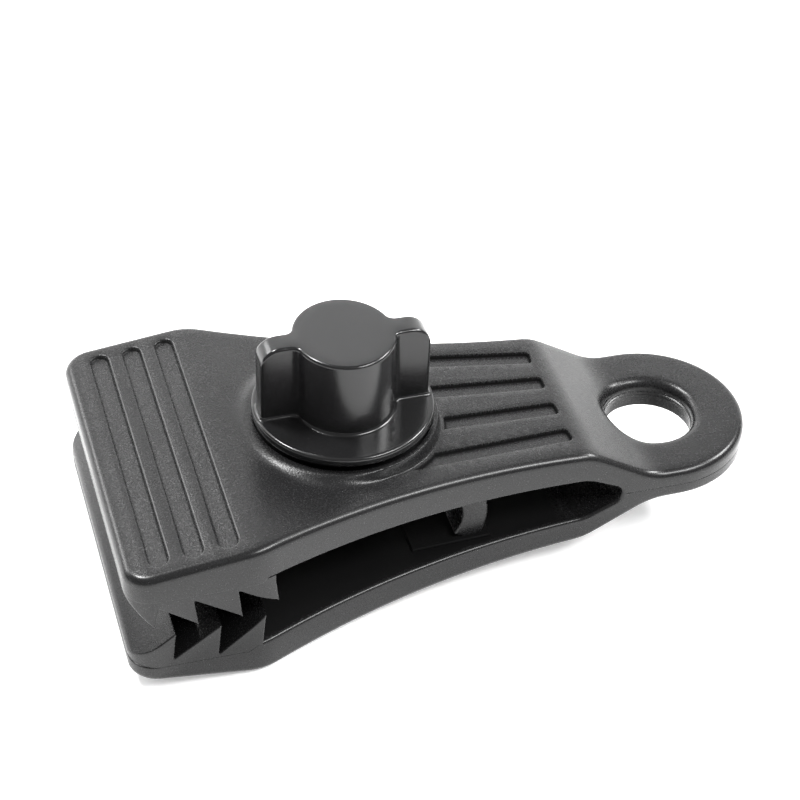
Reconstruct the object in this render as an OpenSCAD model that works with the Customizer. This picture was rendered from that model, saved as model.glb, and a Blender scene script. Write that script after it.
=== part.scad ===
// Tarp clip: two toothed jaws joined at a lashing eye and drawn together by a thumb screw.
// Lengths are in millimetres. The parts are drawn from the jaw front (x = 0) and the parting plane
// (z = 0), then moved so that the origin is under the middle of the clip.

/* [Body] */
// Length from the jaw front to the end of the eye
body_l = 79.9; // [76:0.05:84]
// Width across the jaws
jaw_w = 41.2; // [38:0.1:44]
// Radius of the concave side between jaw and eye
side_r = 109.5; // [98:0.5:120]
// Distance from the eye centre back to the waist, where the sides run straight
waist_back = 10.1; // [8:0.05:11]
// Radius of the plates' front corners
corner_r = 3.1; // [2.5:0.1:4.5]
// Half height of the body at the jaw front
front_h = 7.5; // [6.8:0.05:8]
// Half height of the body at the crease
crease_h = 9.45; // [8.8:0.05:10]
// Distance from the jaw front to the crease
crease_x = 15; // [14:0.1:16.5]
// Half height of the body where the arms turn down to the eye
tail_h = 6.85; // [6.3:0.05:7.3]
// The same half height on the lower side
lower_tail_h = 6.4; // [6.2:0.05:7.3]
// Distance from the eye centre back to where the arms turn down
tail_back = 11.8; // [11.5:0.05:12.3]
// Distance from the eye centre back to where the eye becomes flat
flat_back = 3.7; // [3.1:0.05:4.3]

/* [Throat] */
// Half gap between the arms just behind the teeth
throat_h = 4.75; // [4.4:0.05:5]
// Half gap between the arms at the end of the slot's straight part
slot_h = 2.85; // [2.6:0.05:3.1]
// Distance from the eye centre back to the end of the slot's straight part
slot_back = 11.9; // [11.65:0.05:12.3]
// Radius of the slot's round end
slot_end_r = 1.3; // [1:0.05:1.5]
// Distance from the eye centre back to the centre of the slot's round end
slot_end_back = 8.9; // [8.65:0.05:9.25]
// Distance from the eye centre back to the middle of the bend that the upper jaw turns about
bend_back = 10.55; // [10.35:0.05:10.9]
// Height of the raised pads that the web stands on
pad_h = 0.4; // [0.2:0.05:0.6]
// Width of the pads across the clip
pad_w = 22.8; // [22.4:0.1:23.6]
// Distance from the jaw front to the start of the pads
pad_x = 34.8; // [34:0.1:36]
// Length of the pads
pad_l = 9.6; // [9.4:0.1:10.4]

/* [Teeth] */
// Distance from one upper tooth to the next
tooth_pitch = 4.93; // [4.7:0.01:5.1]
// Distance from one lower tooth to the next
lower_pitch = 5.1; // [4.9:0.01:5.2]
// Distance from the jaw front to the first upper tip
upper_tip_x = 2.75; // [2.5:0.05:3]
// Distance from the jaw front to the first lower tip
lower_tip_x = 5.1; // [4.9:0.05:5.3]
// Height of the foremost upper tip above the parting plane
first_tip_h = 0.55; // [0.1:0.05:1]
// Height of the next upper tips above the parting plane
upper_tip_h = 0.05; // [0:0.05:0.6]
// Depth of the first lower tip below the parting plane
lower_tip_h = 0.85; // [0.6:0.05:1]
// How much less deep each next lower tip lies
lower_tip_rise = 0.12; // [0:0.02:0.2]
// Distance from the first upper tip back to the first upper root
first_root_back = 0.55; // [0.2:0.05:0.8]
// Height of the first upper root
upper_root_h = 3.45; // [3:0.05:3.6]
// How much higher each next upper root lies
upper_root_rise = 0.3; // [0:0.05:0.35]
// Depth of the first lower root
lower_root_h = 4.75; // [4.2:0.05:4.9]
// How much deeper each next lower root lies
lower_root_drop = 0.5; // [0:0.05:0.55]
// Distance that the steep faces lean back
tooth_lean = 0.4; // [0.2:0.05:0.6]
// Height of the upper lip above the parting plane
upper_lip_h = 4.2; // [3.8:0.05:4.3]
// Depth of the lower lip below the parting plane
lower_lip_h = 4.6; // [4:0.05:5]
// Height of the last upper tip above the parting plane
last_tip_h = 0.8; // [0.5:0.05:2.5]
// Distance from the third upper tip to the last one
last_tip_step = 4.3; // [4:0.05:4.5]
// Height above the parting plane of the upper tooth block's top, where the plate begins
upper_step_h = 4.4; // [4.35:0.05:4.9]
// The same height on the lower side
lower_step_h = 5.55; // [5.5:0.05:5.8]
// Radius of the tooth block's front corners
block_corner_r = 4.1; // [3.6:0.1:6]

/* [Grip grooves] */
// Width of a groove
groove_w = 2.1; // [1.6:0.1:2.4]
// Depth of a groove
groove_d = 0.5; // [0.3:0.05:0.7]
// Distance from one front groove to the next
front_pitch = 3.88; // [3.5:0.01:4]
// Distance from the jaw front to the middle of the first front groove
front_groove_x = 4.1; // [3.8:0.05:4.4]
// Length of a front groove
front_groove_l = 37.2; // [33:0.1:37.2]
// Number of front grooves
front_grooves = 3; // [1:1:3]
// Distance from one rear groove to the next, at their ends
rear_pitch = 4.93; // [4.4:0.01:5.1]
// Distance from the jaw front to the ends of the rear grooves
rear_groove_x = 54.9; // [54.3:0.1:55.3]
// Number of rear grooves
rear_grooves = 4; // [2:1:4]
// Angle by which each rear groove fans out from the next, in degrees
rear_fan = 3.8; // [0:0.1:4.5]
// Radius round the screw that the rear grooves stop at
rear_clear_r = 11.9; // [11.8:0.05:12.6]

/* [Clamp] */
// Distance from the jaw front to the screw
screw_x = 29.3; // [28.6:0.1:30]
// Radius of the screw's shank
screw_r = 2.45; // [2.4:0.01:2.46]
// Distance from the parting plane down to the nut's outer face
nut_depth = 9.1; // [9:0.05:9.3]
// Length of the screw under its head
screw_l = 25; // [24.6:0.1:25.2]
// Distance from the nut's outer face to the end of the screw
screw_set_back = 0.5; // [0.4:0.05:1]
// Height of the screw's head
head_h = 3.5; // [3:0.1:3.8]
// Width across flats of the screw's head and of the nut
hex_w = 8; // [7.6:0.1:8.2]
// Height of the nut
nut_h = 4; // [3.6:0.1:4.1]
// Radius of the nut's bore
nut_bore_r = 2.5; // [2.48:0.01:2.53]
// Radius of the hole in the upper jaw, wide enough for the jaw to tilt
upper_hole_r = 3.2; // [3:0.05:3.6]
// Radius of the hole in the lower jaw
lower_hole_r = 2.9; // [2.7:0.05:3.2]
// Distance from the parting plane to the face of the upper boss
boss_h = 9.6; // [9.4:0.05:9.8]
// Radius of the bosses' flat faces
boss_r = 11; // [10.8:0.05:11.1]
// Width of the sloping rim round a boss
boss_rim = 0.8; // [0.5:0.05:0.8]
// Outer radius of the ring-shaped recess round the washer's seat
recess_r = 10.5; // [9.8:0.05:10.6]
// Depth of the ring-shaped recess
recess_d = 0.7; // [0.4:0.05:0.9]
// Width of the seat beyond the washer's edge
seat_w = 0.4; // [0.2:0.05:0.6]
// Radius of the washer
washer_r = 7.5; // [7:0.1:8]
// Radius of the washer's hole
washer_hole_r = 2.75; // [2.7:0.05:3]
// Thickness of the washer
washer_t = 1; // [0.8:0.05:1.1]

/* [Knob] */
// Radius of the knob's flange
flange_r = 10.6; // [10.2:0.05:10.7]
// Distance from the upper boss to the underside of the flange
flange_gap = 0.45; // [0.4:0.05:0.8]
// Thickness of the flange's rim
flange_t = 1.25; // [1.1:0.05:1.4]
// Radius of the knob's core
core_r = 6.2; // [5.7:0.1:6.4]
// Height of the grip above the flange
grip_h = 9.8; // [9.5:0.05:10.3]
// Thickness of a wing
wing_t = 2.9; // [2.4:0.1:3.4]
// Radius that the wings reach
wing_r = 10; // [9.4:0.1:10.1]
// Radius of the rounded shoulder at the top of a wing
shoulder_r = 2.5; // [1.8:0.1:3.2]
// Radius of the fillet between core and wing
wing_fillet = 1; // [0.6:0.1:1.4]
// Radius of the rounded edge round the top of the core
core_edge_r = 0.4; // [0.3:0.05:0.8]

/* [Eye] */
// Outer radius of the eye, and half the width of the waist
eye_r = 11.8; // [11.4:0.1:12.2]
// Radius of the eye's hole
eye_hole_r = 5.5; // [5:0.05:5.6]
// Thickness of the eye
eye_t = 4; // [3.6:0.05:4.4]
// Width of the flaring edge round the eye's hole
flare_w = 1.2; // [0.5:0.05:1.4]
// Depth of the flaring edge round the eye's hole
flare_h = 1.25; // [0.5:0.05:1.5]
// Width and depth of the same edge on the lower side
lower_flare = 0.5; // [0.3:0.05:0.9]
// Share of the flaring edge's width at its middle
round_share = 0.29; // [0.2:0.01:0.4]

/* [Spring web] */
// Distance from the jaw front to the middle of the web
web_x = 42.55; // [42.2:0.05:43]
// Thickness of the web
web_t = 3.2; // [2.8:0.1:3.4]
// Radius of the web's middle line
web_r = 5.9; // [5.4:0.1:6.4]
// Width of the web across the clip
web_w = 21.6; // [20:0.1:22.4]

/* [Clearances] */
// Gap between the upper jaw's round end and its socket in the eye
hinge_gap = 0.3; // [0.2:0.01:0.35]
// Gap between the washer and what it lies between
seat_gap = 0.05; // [0.03:0.01:0.08]
// Gap round the washer in the knob's recess
recess_gap = 0.3; // [0.2:0.05:0.5]
// Gap round the nut in its pocket
pocket_gap = 0.1; // [0.05:0.01:0.15]
// Gap between the web and the upper jaw
web_gap = 0.05; // [0.03:0.01:0.1]

/* [Hidden] */
$fn = 96;
// Overrun of every cut past the face that it opens
cut_over = 1;
// Overlap of pieces that are fused into one solid
fuse_lap = 0.3;
// Depth by which the wings' fillets run into the core
fillet_bite = 0.1;

eye_x = body_l - eye_r;
waist_x = eye_x - waist_back;
tail_x = eye_x - tail_back;
flat_x = eye_x - flat_back;
slot_x = eye_x - slot_back;
slot_end_x = eye_x - slot_end_back;
upper_tips = [for (k = [0:2]) [upper_tip_x + k * tooth_pitch, k == 0 ? first_tip_h : upper_tip_h]];
upper_roots = [for (k = [0:2]) [upper_tips[k][0] + (k == 0 ? first_root_back : -tooth_lean),
                                upper_root_h + k * upper_root_rise]];
lower_tips = [for (k = [0:2]) [lower_tip_x + k * lower_pitch, lower_tip_h - k * lower_tip_rise]];
lower_roots = [for (k = [0:1]) [lower_tips[k][0] - tooth_lean, lower_root_h + k * lower_root_drop]];
last_tip_x = upper_tips[2][0] + last_tip_step;
upper_throat_x = last_tip_x - tooth_lean;
lower_throat_x = lower_tips[2][0] - tooth_lean;

// Height of the outer and the inner face of an arm along the clip
function outer_line(end_h) = [[0, front_h], [crease_x, crease_h], [tail_x, end_h], [flat_x, eye_t / 2]];
inner_line = [[upper_throat_x, throat_h], [slot_x, slot_h]];
front_slope = atan2(crease_h - front_h, crease_x);
tail_slope = atan2(tail_h - eye_t / 2, flat_x - tail_x);

// The slot's slanted faces touch its round end here
slot_corner = [slot_x - slot_end_x, slot_h];
touch_angle = atan2(slot_corner[1], slot_corner[0]) - acos(slot_end_r / norm(slot_corner));
slot_touch = [slot_end_x + slot_end_r * cos(touch_angle), slot_end_r * sin(touch_angle)];

// The upper arm bends at the middle of its thickness, just behind the end of the slot's straight part
hinge_x = eye_x - bend_back;
tail_line = [[slot_x, slot_h], slot_touch];
hinge_t = lookup(hinge_x, outer_line(tail_h)) - lookup(hinge_x, tail_line);
hinge_z = lookup(hinge_x, tail_line) + hinge_t / 2;
knuckle_r = hinge_t / 2 * cos(tail_slope);

washer_z = boss_h + seat_gap;
flange_z = boss_h + flange_gap;
grip_z = flange_z + flange_t;
knob_top = grip_z + grip_h;
recess_top = washer_z + washer_t + seat_gap;
nut_z = -nut_depth;
nut_floor = nut_z + nut_h;
head_z = nut_z + screw_set_back + screw_l;
web_centre_x = web_x - web_r;
groove_step = crease_x - front_groove_x;

// Moves a piece from the drawing's origin to the clip's
module place() {
    translate([-body_l / 2, 0, crease_h]) children();
}

// A square with one corner cut to an arc, taken away from an outline's corner
module corner_waste(r) {
    difference() {
        translate([-cut_over, -cut_over]) square(r + cut_over);
        translate([r, r]) circle(r);
    }
}

// Outline of the body seen from above, drawn in by inset
module plan(inset, front_r) {
    half_w = jaw_w / 2 - inset;
    difference() {
        translate([0, -half_w]) square([waist_x, 2 * half_w]);
        for (s = [-1, 1])
            translate([waist_x, s * (eye_r + side_r)]) circle(side_r + inset, $fn = 360);
        translate([0, -half_w]) corner_waste(front_r);
        mirror([0, 1]) translate([0, -half_w]) corner_waste(front_r);
    }
    translate([waist_x - fuse_lap, inset - eye_r])
        square([waist_back + fuse_lap, 2 * (eye_r - inset)]);
    translate([eye_x, 0]) circle(eye_r - inset);
}

// Stands a side view up and gives it the body's outline from above
module cut_to_plan(inset, front_r) {
    intersection() {
        translate([0, jaw_w, 0]) rotate([90, 0, 0]) linear_extrude(2 * jaw_w) children();
        translate([0, 0, -2 * crease_h]) linear_extrude(4 * crease_h) plan(inset, front_r);
    }
}

// Side view of one arm and its half of the eye, above the parting plane
module arm_side(throat_x, end_h, step_h) {
    difference() {
        polygon(concat([[throat_x, step_h], [0, step_h]], outer_line(end_h),
                       [[body_l + cut_over, eye_t / 2], [body_l + cut_over, -fuse_lap],
                        [slot_end_x, -fuse_lap], slot_touch, [slot_x, slot_h], [throat_x, throat_h]]));
        translate([slot_end_x, 0]) circle(slot_end_r);
    }
}

// Everything on the eye's side of the cut through the middle of the bend
module beyond_bend() {
    translate([hinge_x, hinge_z]) rotate(-tail_slope)
        translate([0, -2 * crease_h]) square([body_l, 4 * crease_h]);
}

// Side view of the teeth: each ramp rises to a tip, with a steep face behind it
module tooth_block(lip_h, tips, roots, end_points, step_h) {
    polygon(concat([[0, step_h + fuse_lap], [0, lip_h]],
                   [for (k = [0:len(roots) - 1]) each [tips[k], roots[k]]],
                   end_points,
                   [[end_points[1][0], step_h + fuse_lap]]));
}

// Side view of the raised pad inside an arm
module pad_side() {
    end_x = pad_x + pad_l;
    polygon([[pad_x, lookup(pad_x, inner_line) + fuse_lap], [pad_x, lookup(pad_x, inner_line) - pad_h],
             [end_x, lookup(end_x, inner_line) - pad_h], [end_x, lookup(end_x, inner_line) + fuse_lap]]);
}

// Cuts for the grooves across the front of a plate
module front_groove_cuts() {
    straight = front_groove_l - groove_w;
    translate([crease_x, 0, crease_h]) rotate([0, -front_slope, 0]) translate([0, 0, -groove_d])
        for (k = [0:front_grooves - 1])
            translate([(k * front_pitch - groove_step) / cos(front_slope), 0, 0])
                linear_extrude(groove_d + cut_over) {
                    translate([-groove_w / 2, -straight / 2]) square([groove_w, straight]);
                    for (s = [-1, 1]) translate([0, s * straight / 2]) circle(groove_w / 2);
                }
}

// Cuts for the grooves that fan out from the eye to the screw boss
module rear_groove_cuts(end_h) {
    run = rear_groove_x - screw_x;
    slope = atan2(crease_h - end_h, tail_x - crease_x);
    difference() {
        translate([crease_x, 0, crease_h]) rotate([0, slope, 0])
            translate([(rear_groove_x - crease_x) / cos(slope), 0, -groove_d])
                for (k = [0:rear_grooves - 1]) {
                    row = k - (rear_grooves - 1) / 2;
                    translate([0, row * rear_pitch, 0]) rotate([0, 0, -row * rear_fan])
                        translate([-run, -groove_w / 2, 0]) cube([run, groove_w, groove_d + cut_over]);
                }
        translate([screw_x, 0, 0]) cylinder(h = 2 * crease_h, r = rear_clear_r);
    }
}

// Flat round boss with a sloping rim, from inside the arm up to height face_h
module boss(face_h) {
    root_z = (crease_h + throat_h) / 2;
    rim_z = face_h - boss_rim;
    translate([screw_x, 0, rim_z]) cylinder(h = boss_rim, r1 = boss_r + boss_rim, r2 = boss_r);
    translate([screw_x, 0, root_z]) cylinder(h = rim_z - root_z + fuse_lap, r = boss_r + boss_rim);
}

// Opening above a boss's face, where the sloping plate is higher than the boss
module boss_spot(face_h) {
    translate([screw_x, 0, face_h])
        cylinder(h = cut_over, r1 = boss_r, r2 = boss_r + cut_over);
}

// A plate with its boss and grooves, above the parting plane, up to the bend
module arm_plate(throat_x, face_h, end_h, step_h) {
    difference() {
        union() {
            cut_to_plan(0, corner_r) difference() {
                arm_side(throat_x, end_h, step_h);
                beyond_bend();
            }
            boss(face_h);
        }
        boss_spot(face_h);
        front_groove_cuts();
        rear_groove_cuts(end_h);
    }
    translate([0, pad_w / 2, 0]) rotate([90, 0, 0]) linear_extrude(pad_w) pad_side();
}

// Hexagonal bar with the given width across flats
module hex_bar(across, h) {
    cylinder(h = h, r = across / 2 / cos(30), $fn = 6);
}

module upper_jaw() {
    end_points = [[last_tip_x, last_tip_h], [upper_throat_x, throat_h]];
    color([0.2, 0.2, 0.21]) difference() {
        union() {
            arm_plate(upper_throat_x, boss_h, tail_h, upper_step_h);
            cut_to_plan(0, block_corner_r)
                tooth_block(upper_lip_h, upper_tips, upper_roots, end_points, upper_step_h);
            cut_to_plan(0, corner_r) translate([hinge_x, hinge_z]) circle(knuckle_r);
        }
        translate([screw_x, 0, 0]) cylinder(h = 2 * crease_h, r = upper_hole_r);
        translate([screw_x, 0, boss_h - recess_d]) rotate_extrude()
            translate([washer_r + seat_w, 0]) square([recess_r - washer_r - seat_w, recess_d + cut_over]);
    }
}

module lower_jaw() {
    end_points = [lower_tips[2], [lower_throat_x, throat_h]];
    color([0.2, 0.2, 0.21]) difference() {
        mirror([0, 0, 1]) {
            arm_plate(lower_throat_x, crease_h, lower_tail_h, lower_step_h);
            cut_to_plan(0, block_corner_r)
                tooth_block(lower_lip_h, lower_tips, lower_roots, end_points, lower_step_h);
        }
        translate([screw_x, 0, -2 * crease_h]) cylinder(h = 2 * crease_h, r = lower_hole_r);
        translate([screw_x, 0, nut_floor - 2 * crease_h]) hex_bar(hex_w + 2 * pocket_gap, 2 * crease_h);
    }
}

// Half section of the rounded, flaring edge of the eye's hole, in two slopes
module eye_flare(w, h) {
    start_h = eye_t / 2 - h;
    polygon([[0, start_h], [eye_hole_r, start_h],
             [eye_hole_r + w * round_share, start_h + h * (1 - round_share)],
             [eye_hole_r + w, eye_t / 2], [eye_hole_r + w, crease_h], [0, crease_h]]);
}

module lashing_eye() {
    color([0.2, 0.2, 0.21]) difference() {
        cut_to_plan(0, corner_r) {
            difference() {
                intersection() {
                    arm_side(upper_throat_x, tail_h, upper_step_h);
                    beyond_bend();
                }
                translate([hinge_x, hinge_z]) circle(knuckle_r + hinge_gap);
            }
            mirror([0, 1]) intersection() {
                arm_side(upper_throat_x, lower_tail_h, lower_step_h);
                beyond_bend();
            }
        }
        translate([eye_x, 0, -crease_h]) cylinder(h = 2 * crease_h, r = eye_hole_r);
        translate([eye_x, 0, 0]) rotate_extrude() eye_flare(flare_w, flare_h);
        mirror([0, 0, 1]) translate([eye_x, 0, 0]) rotate_extrude() eye_flare(lower_flare, lower_flare);
    }
}

module spring_web() {
    start_x = web_centre_x;
    end_x = web_centre_x + web_r + web_t;
    color([0.2, 0.2, 0.21]) translate([0, web_w / 2, 0]) rotate([90, 0, 0]) linear_extrude(web_w)
        intersection() {
            difference() {
                translate([web_centre_x, 0]) circle(web_r + web_t / 2);
                translate([web_centre_x, 0]) circle(web_r - web_t / 2);
            }
            polygon([[start_x, lookup(start_x, inner_line) - pad_h - web_gap],
                     [start_x, pad_h - lookup(start_x, inner_line)],
                     [end_x, pad_h - lookup(end_x, inner_line)],
                     [end_x, lookup(end_x, inner_line) - pad_h - web_gap]]);
        }
}

module hex_nut() {
    color("silver") translate([screw_x, 0, nut_z]) difference() {
        hex_bar(hex_w, nut_h);
        translate([0, 0, -cut_over]) cylinder(h = nut_h + 2 * cut_over, r = nut_bore_r);
    }
}

module washer() {
    color("silver") translate([screw_x, 0, washer_z]) difference() {
        cylinder(h = washer_t, r = washer_r);
        translate([0, 0, -cut_over]) cylinder(h = washer_t + 2 * cut_over, r = washer_hole_r);
    }
}

module clamp_screw() {
    color("silver") translate([screw_x, 0, head_z]) {
        hex_bar(hex_w, head_h);
        translate([0, 0, -screw_l]) cylinder(h = screw_l + fuse_lap, r = screw_r);
    }
}

// One wing with its fillets, seen from above, on the +x side
module wing_plan() {
    fillet_y = wing_t / 2 + wing_fillet;
    fillet_x = sqrt(pow(core_r + wing_fillet - fillet_bite, 2) - pow(fillet_y, 2));
    touch_share = core_r / (core_r + wing_fillet);
    translate([0, -wing_t / 2]) square([wing_r + cut_over, wing_t]);
    difference() {
        polygon([[0, 0], [fillet_x * touch_share, fillet_y * touch_share], [fillet_x, fillet_y],
                 [fillet_x, -fillet_y], [fillet_x * touch_share, -fillet_y * touch_share]]);
        for (s = [-1, 1]) translate([fillet_x, s * fillet_y]) circle(wing_fillet);
    }
}

// Side view of both wings, with rounded shoulders
module wing_side() {
    difference() {
        translate([-wing_r, flange_z]) square([2 * wing_r, knob_top - flange_z]);
        for (s = [0, 1]) mirror([s, 0]) translate([wing_r, knob_top]) rotate(180) corner_waste(shoulder_r);
    }
}

module thumb_knob() {
    color([0.16, 0.16, 0.17]) translate([screw_x, 0, 0]) difference() {
        union() {
            translate([0, 0, flange_z]) cylinder(h = flange_t, r = flange_r);
            rotate_extrude() difference() {
                translate([0, grip_z - fuse_lap]) square([core_r, grip_h + fuse_lap]);
                translate([core_r, knob_top]) rotate(180) corner_waste(core_edge_r);
            }
            intersection() {
                for (a = [0, 180]) rotate([0, 0, a]) translate([0, 0, grip_z - fuse_lap])
                    linear_extrude(grip_h + fuse_lap) wing_plan();
                translate([0, wing_r, 0]) rotate([90, 0, 0]) linear_extrude(2 * wing_r) wing_side();
            }
        }
        translate([0, 0, flange_z - cut_over])
            cylinder(h = recess_top - flange_z + cut_over, r = washer_r + recess_gap);
        translate([0, 0, flange_z]) cylinder(h = head_z - flange_z + fuse_lap, r = screw_r);
        translate([0, 0, head_z]) hex_bar(hex_w, head_h);
    }
}

place() lower_jaw();
place() upper_jaw();
place() lashing_eye();
place() spring_web();
place() hex_nut();
place() washer();
place() clamp_screw();
place() thumb_knob();
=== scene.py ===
"""Looks of the tarp clip: detailed moulding, knob, screw, finishes, studio and camera.

Every size is in millimetres in the drawing's frame (x = 0 at the jaw front, z = 0 in the parting
plane); Draft.to_object moves a finished mesh into the CAD frame, in metres.
"""

import logging
import math
from dataclasses import dataclass
from enum import Enum
from typing import Callable, Iterable, Optional, Sequence, Union

import bmesh
import bpy
import numpy as np
from mathutils import Matrix, Vector
from mathutils.geometry import delaunay_2d_cdt

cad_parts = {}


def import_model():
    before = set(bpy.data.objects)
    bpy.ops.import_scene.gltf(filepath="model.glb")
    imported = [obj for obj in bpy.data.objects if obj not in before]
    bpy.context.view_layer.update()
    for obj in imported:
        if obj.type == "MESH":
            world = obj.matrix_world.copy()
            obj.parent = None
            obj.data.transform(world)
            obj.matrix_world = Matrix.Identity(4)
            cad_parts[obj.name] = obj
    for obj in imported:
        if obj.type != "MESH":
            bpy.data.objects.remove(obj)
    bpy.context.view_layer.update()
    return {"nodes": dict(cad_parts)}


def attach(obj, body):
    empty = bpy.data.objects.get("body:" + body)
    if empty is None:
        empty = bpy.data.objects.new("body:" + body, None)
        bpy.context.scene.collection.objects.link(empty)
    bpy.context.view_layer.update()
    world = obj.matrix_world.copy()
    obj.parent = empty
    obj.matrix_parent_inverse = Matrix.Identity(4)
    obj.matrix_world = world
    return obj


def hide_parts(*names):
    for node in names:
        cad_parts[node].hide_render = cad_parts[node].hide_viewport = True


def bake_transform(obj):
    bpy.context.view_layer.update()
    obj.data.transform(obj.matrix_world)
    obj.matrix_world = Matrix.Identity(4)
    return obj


log = logging.getLogger("tarp_clip")

MILLIMETRE = 0.001
QUARTER_TURN = math.pi / 2
# value of the recess attribute on walls moulded smooth; 0 is a grained face, 1 is full painted shade deep in
# a recess
SMOOTH_SIDE = -1.0
# rows of a fillet from the side to the face, as shares of its radius: (inset, drop)
FILLET_STEPS = tuple(
    (1.0 - math.cos(math.radians(turn)), 1.0 - math.sin(math.radians(turn)))
    for turn in (0, 8, 18, 29, 40, 52, 64, 77, 90)
)


class Slot(str, Enum):
    """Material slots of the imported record."""

    BODY = "body_plastic"
    KNOB = "knob_plastic"
    STEEL = "zinc_steel"


class Body(str, Enum):
    """Rigid bodies of the CAD frame that the pieces ride on."""

    ROOT = "body"
    UPPER = "upper_arm"
    KNOB = "knob"


@dataclass(frozen=True)
class BodySizes:
    """Outline and side view of the moulding.

    Attributes:
        length: Whole length.
        jaw_half_w: Half width of the jaws.
        side_r: Radius of the hollow sides.
        side_soft: Reach of the rounding where the jaws' sides meet the hollow ones.
        corner_r: Corner radius of the jaw plates, from above.
        eye_r: Outer radius of the eye.
        eye_hole_r: Radius of its hole.
        waist_x: Where the hollow sides reach the eye's width.
        origin_x: Place of the CAD frame's origin.
        ground: Height of the parting plane over the ground.
        front_h: Height of a plate at the jaw front.
        crease: Where the plate's slope ends, as (x, height).
        tail_x: Where the arms bend down to the eye.
        flat_x: Where the flat of the eye begins.
        eye_half_t: Half the eye's thickness.
        outer_soft: Reach of the rounding at crease, tail and flat.
        throat_h: Height of an arm's inner face at the teeth.
        slot_x: Where the inner face turns to the slot's end.
        slot_h: Its height there.
        slot_end_x: Centre of the slot's round end.
        slot_end_r: Its radius.
        edge_r: Radius of the outer edges.
        inner_r: Radius of the edges along the slot.
        step_r: Radius of the edge over the tooth block.
        seam_r: Radius of the eye's edge at the parting line.
        screw_x: Place of the screw.
        bore_r: Radius of the screw's hole past the nut's pocket.
    """

    length: float = 79.9
    jaw_half_w: float = 20.6
    side_r: float = 109.5
    side_soft: float = 1.6
    corner_r: float = 3.1
    eye_r: float = 11.8
    eye_hole_r: float = 5.5
    waist_x: float = 58.0
    origin_x: float = 39.95
    ground: float = 9.45
    front_h: float = 7.5
    crease: tuple = (15.0, 9.45)
    tail_x: float = 56.3
    flat_x: float = 64.4
    eye_half_t: float = 2.0
    outer_soft: tuple = (2.2, 1.3, 1.9)
    throat_h: float = 4.75
    slot_x: float = 56.2
    slot_h: float = 2.85
    slot_end_x: float = 59.2
    slot_end_r: float = 1.3
    edge_r: float = 0.95
    inner_r: float = 0.5
    step_r: float = 0.15
    seam_r: float = 0.08
    screw_x: float = 29.3
    bore_r: float = 2.9

    @property
    def eye_x(self) -> float:
        """Distance from the jaw front to the eye's centre."""
        return self.length - self.eye_r

    def outer(self, tail_h: float) -> tuple:
        """Lists the corners of an arm's outer side view, carried on past both ends.

        Args:
            tail_h: Height of the arm where it bends down to the eye.

        Returns:
            The corners as (x, height).
        """
        over = 5.0
        slope = (self.crease[1] - self.front_h) / self.crease[0]
        return (
            (-over, self.front_h - over * slope), self.crease, (self.tail_x, tail_h),
            (self.flat_x, self.eye_half_t), (self.length + over, self.eye_half_t),
        )

    def in_cad(self, x: float, z: float) -> tuple:
        """A point of the middle plane in the CAD frame, in metres."""
        return ((x - self.origin_x) * MILLIMETRE, 0.0, (self.ground + z) * MILLIMETRE)


@dataclass(frozen=True)
class ArmSizes:
    """What differs between the upper and the lower arm.

    Attributes:
        tail_h: Height where the arm bends down to the eye.
        front_edge_r: Radius of the plate's front edge.
        hole_floor: Height down to which the opening in the boss goes.
        step_h: Height of the step over the tooth block.
        throat_x: Where the inner face meets the last tooth.
        flare_w: Width of the flare round the eye's hole.
        flare_h: Height of that flare.
        lap: How far the inner face runs on inside the tooth block.
    """

    tail_h: float
    front_edge_r: float
    hole_floor: float
    step_h: float
    throat_x: float
    flare_w: float
    flare_h: float
    lap: float = 0.7

    @property
    def start_x(self) -> float:
        """Where the arm's inner face begins, hidden in the tooth block."""
        return self.throat_x - self.lap


@dataclass(frozen=True)
class BossSizes:
    """Flat round seat under the knob or round the nut.

    Attributes:
        face_h: Height of its face.
        flat_r: Radius of the flat.
        rim: Mean width of the sloping rim.
        rim_shift: How much wider the rim is towards the jaw.
        rim_range: Least and greatest width of the rim.
        seat_r: Radius of the washer's seat inside the recess.
        recess_r: Outer radius of the recess.
        recess_d: Depth of the recess, or 0 for none.
    """

    face_h: float
    flat_r: float = 11.0
    rim: float = 1.1
    rim_shift: float = 2.4
    rim_range: tuple = (0.55, 2.1)
    seat_r: float = 7.9
    recess_r: float = 10.5
    recess_d: float = 0.0

    def rim_width(self, toward_eye: np.ndarray) -> np.ndarray:
        """Width of the rim, from the cosine of the angle off the long axis (1 is towards the eye)."""
        return np.clip(self.rim - self.rim_shift * toward_eye, *self.rim_range)


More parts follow.
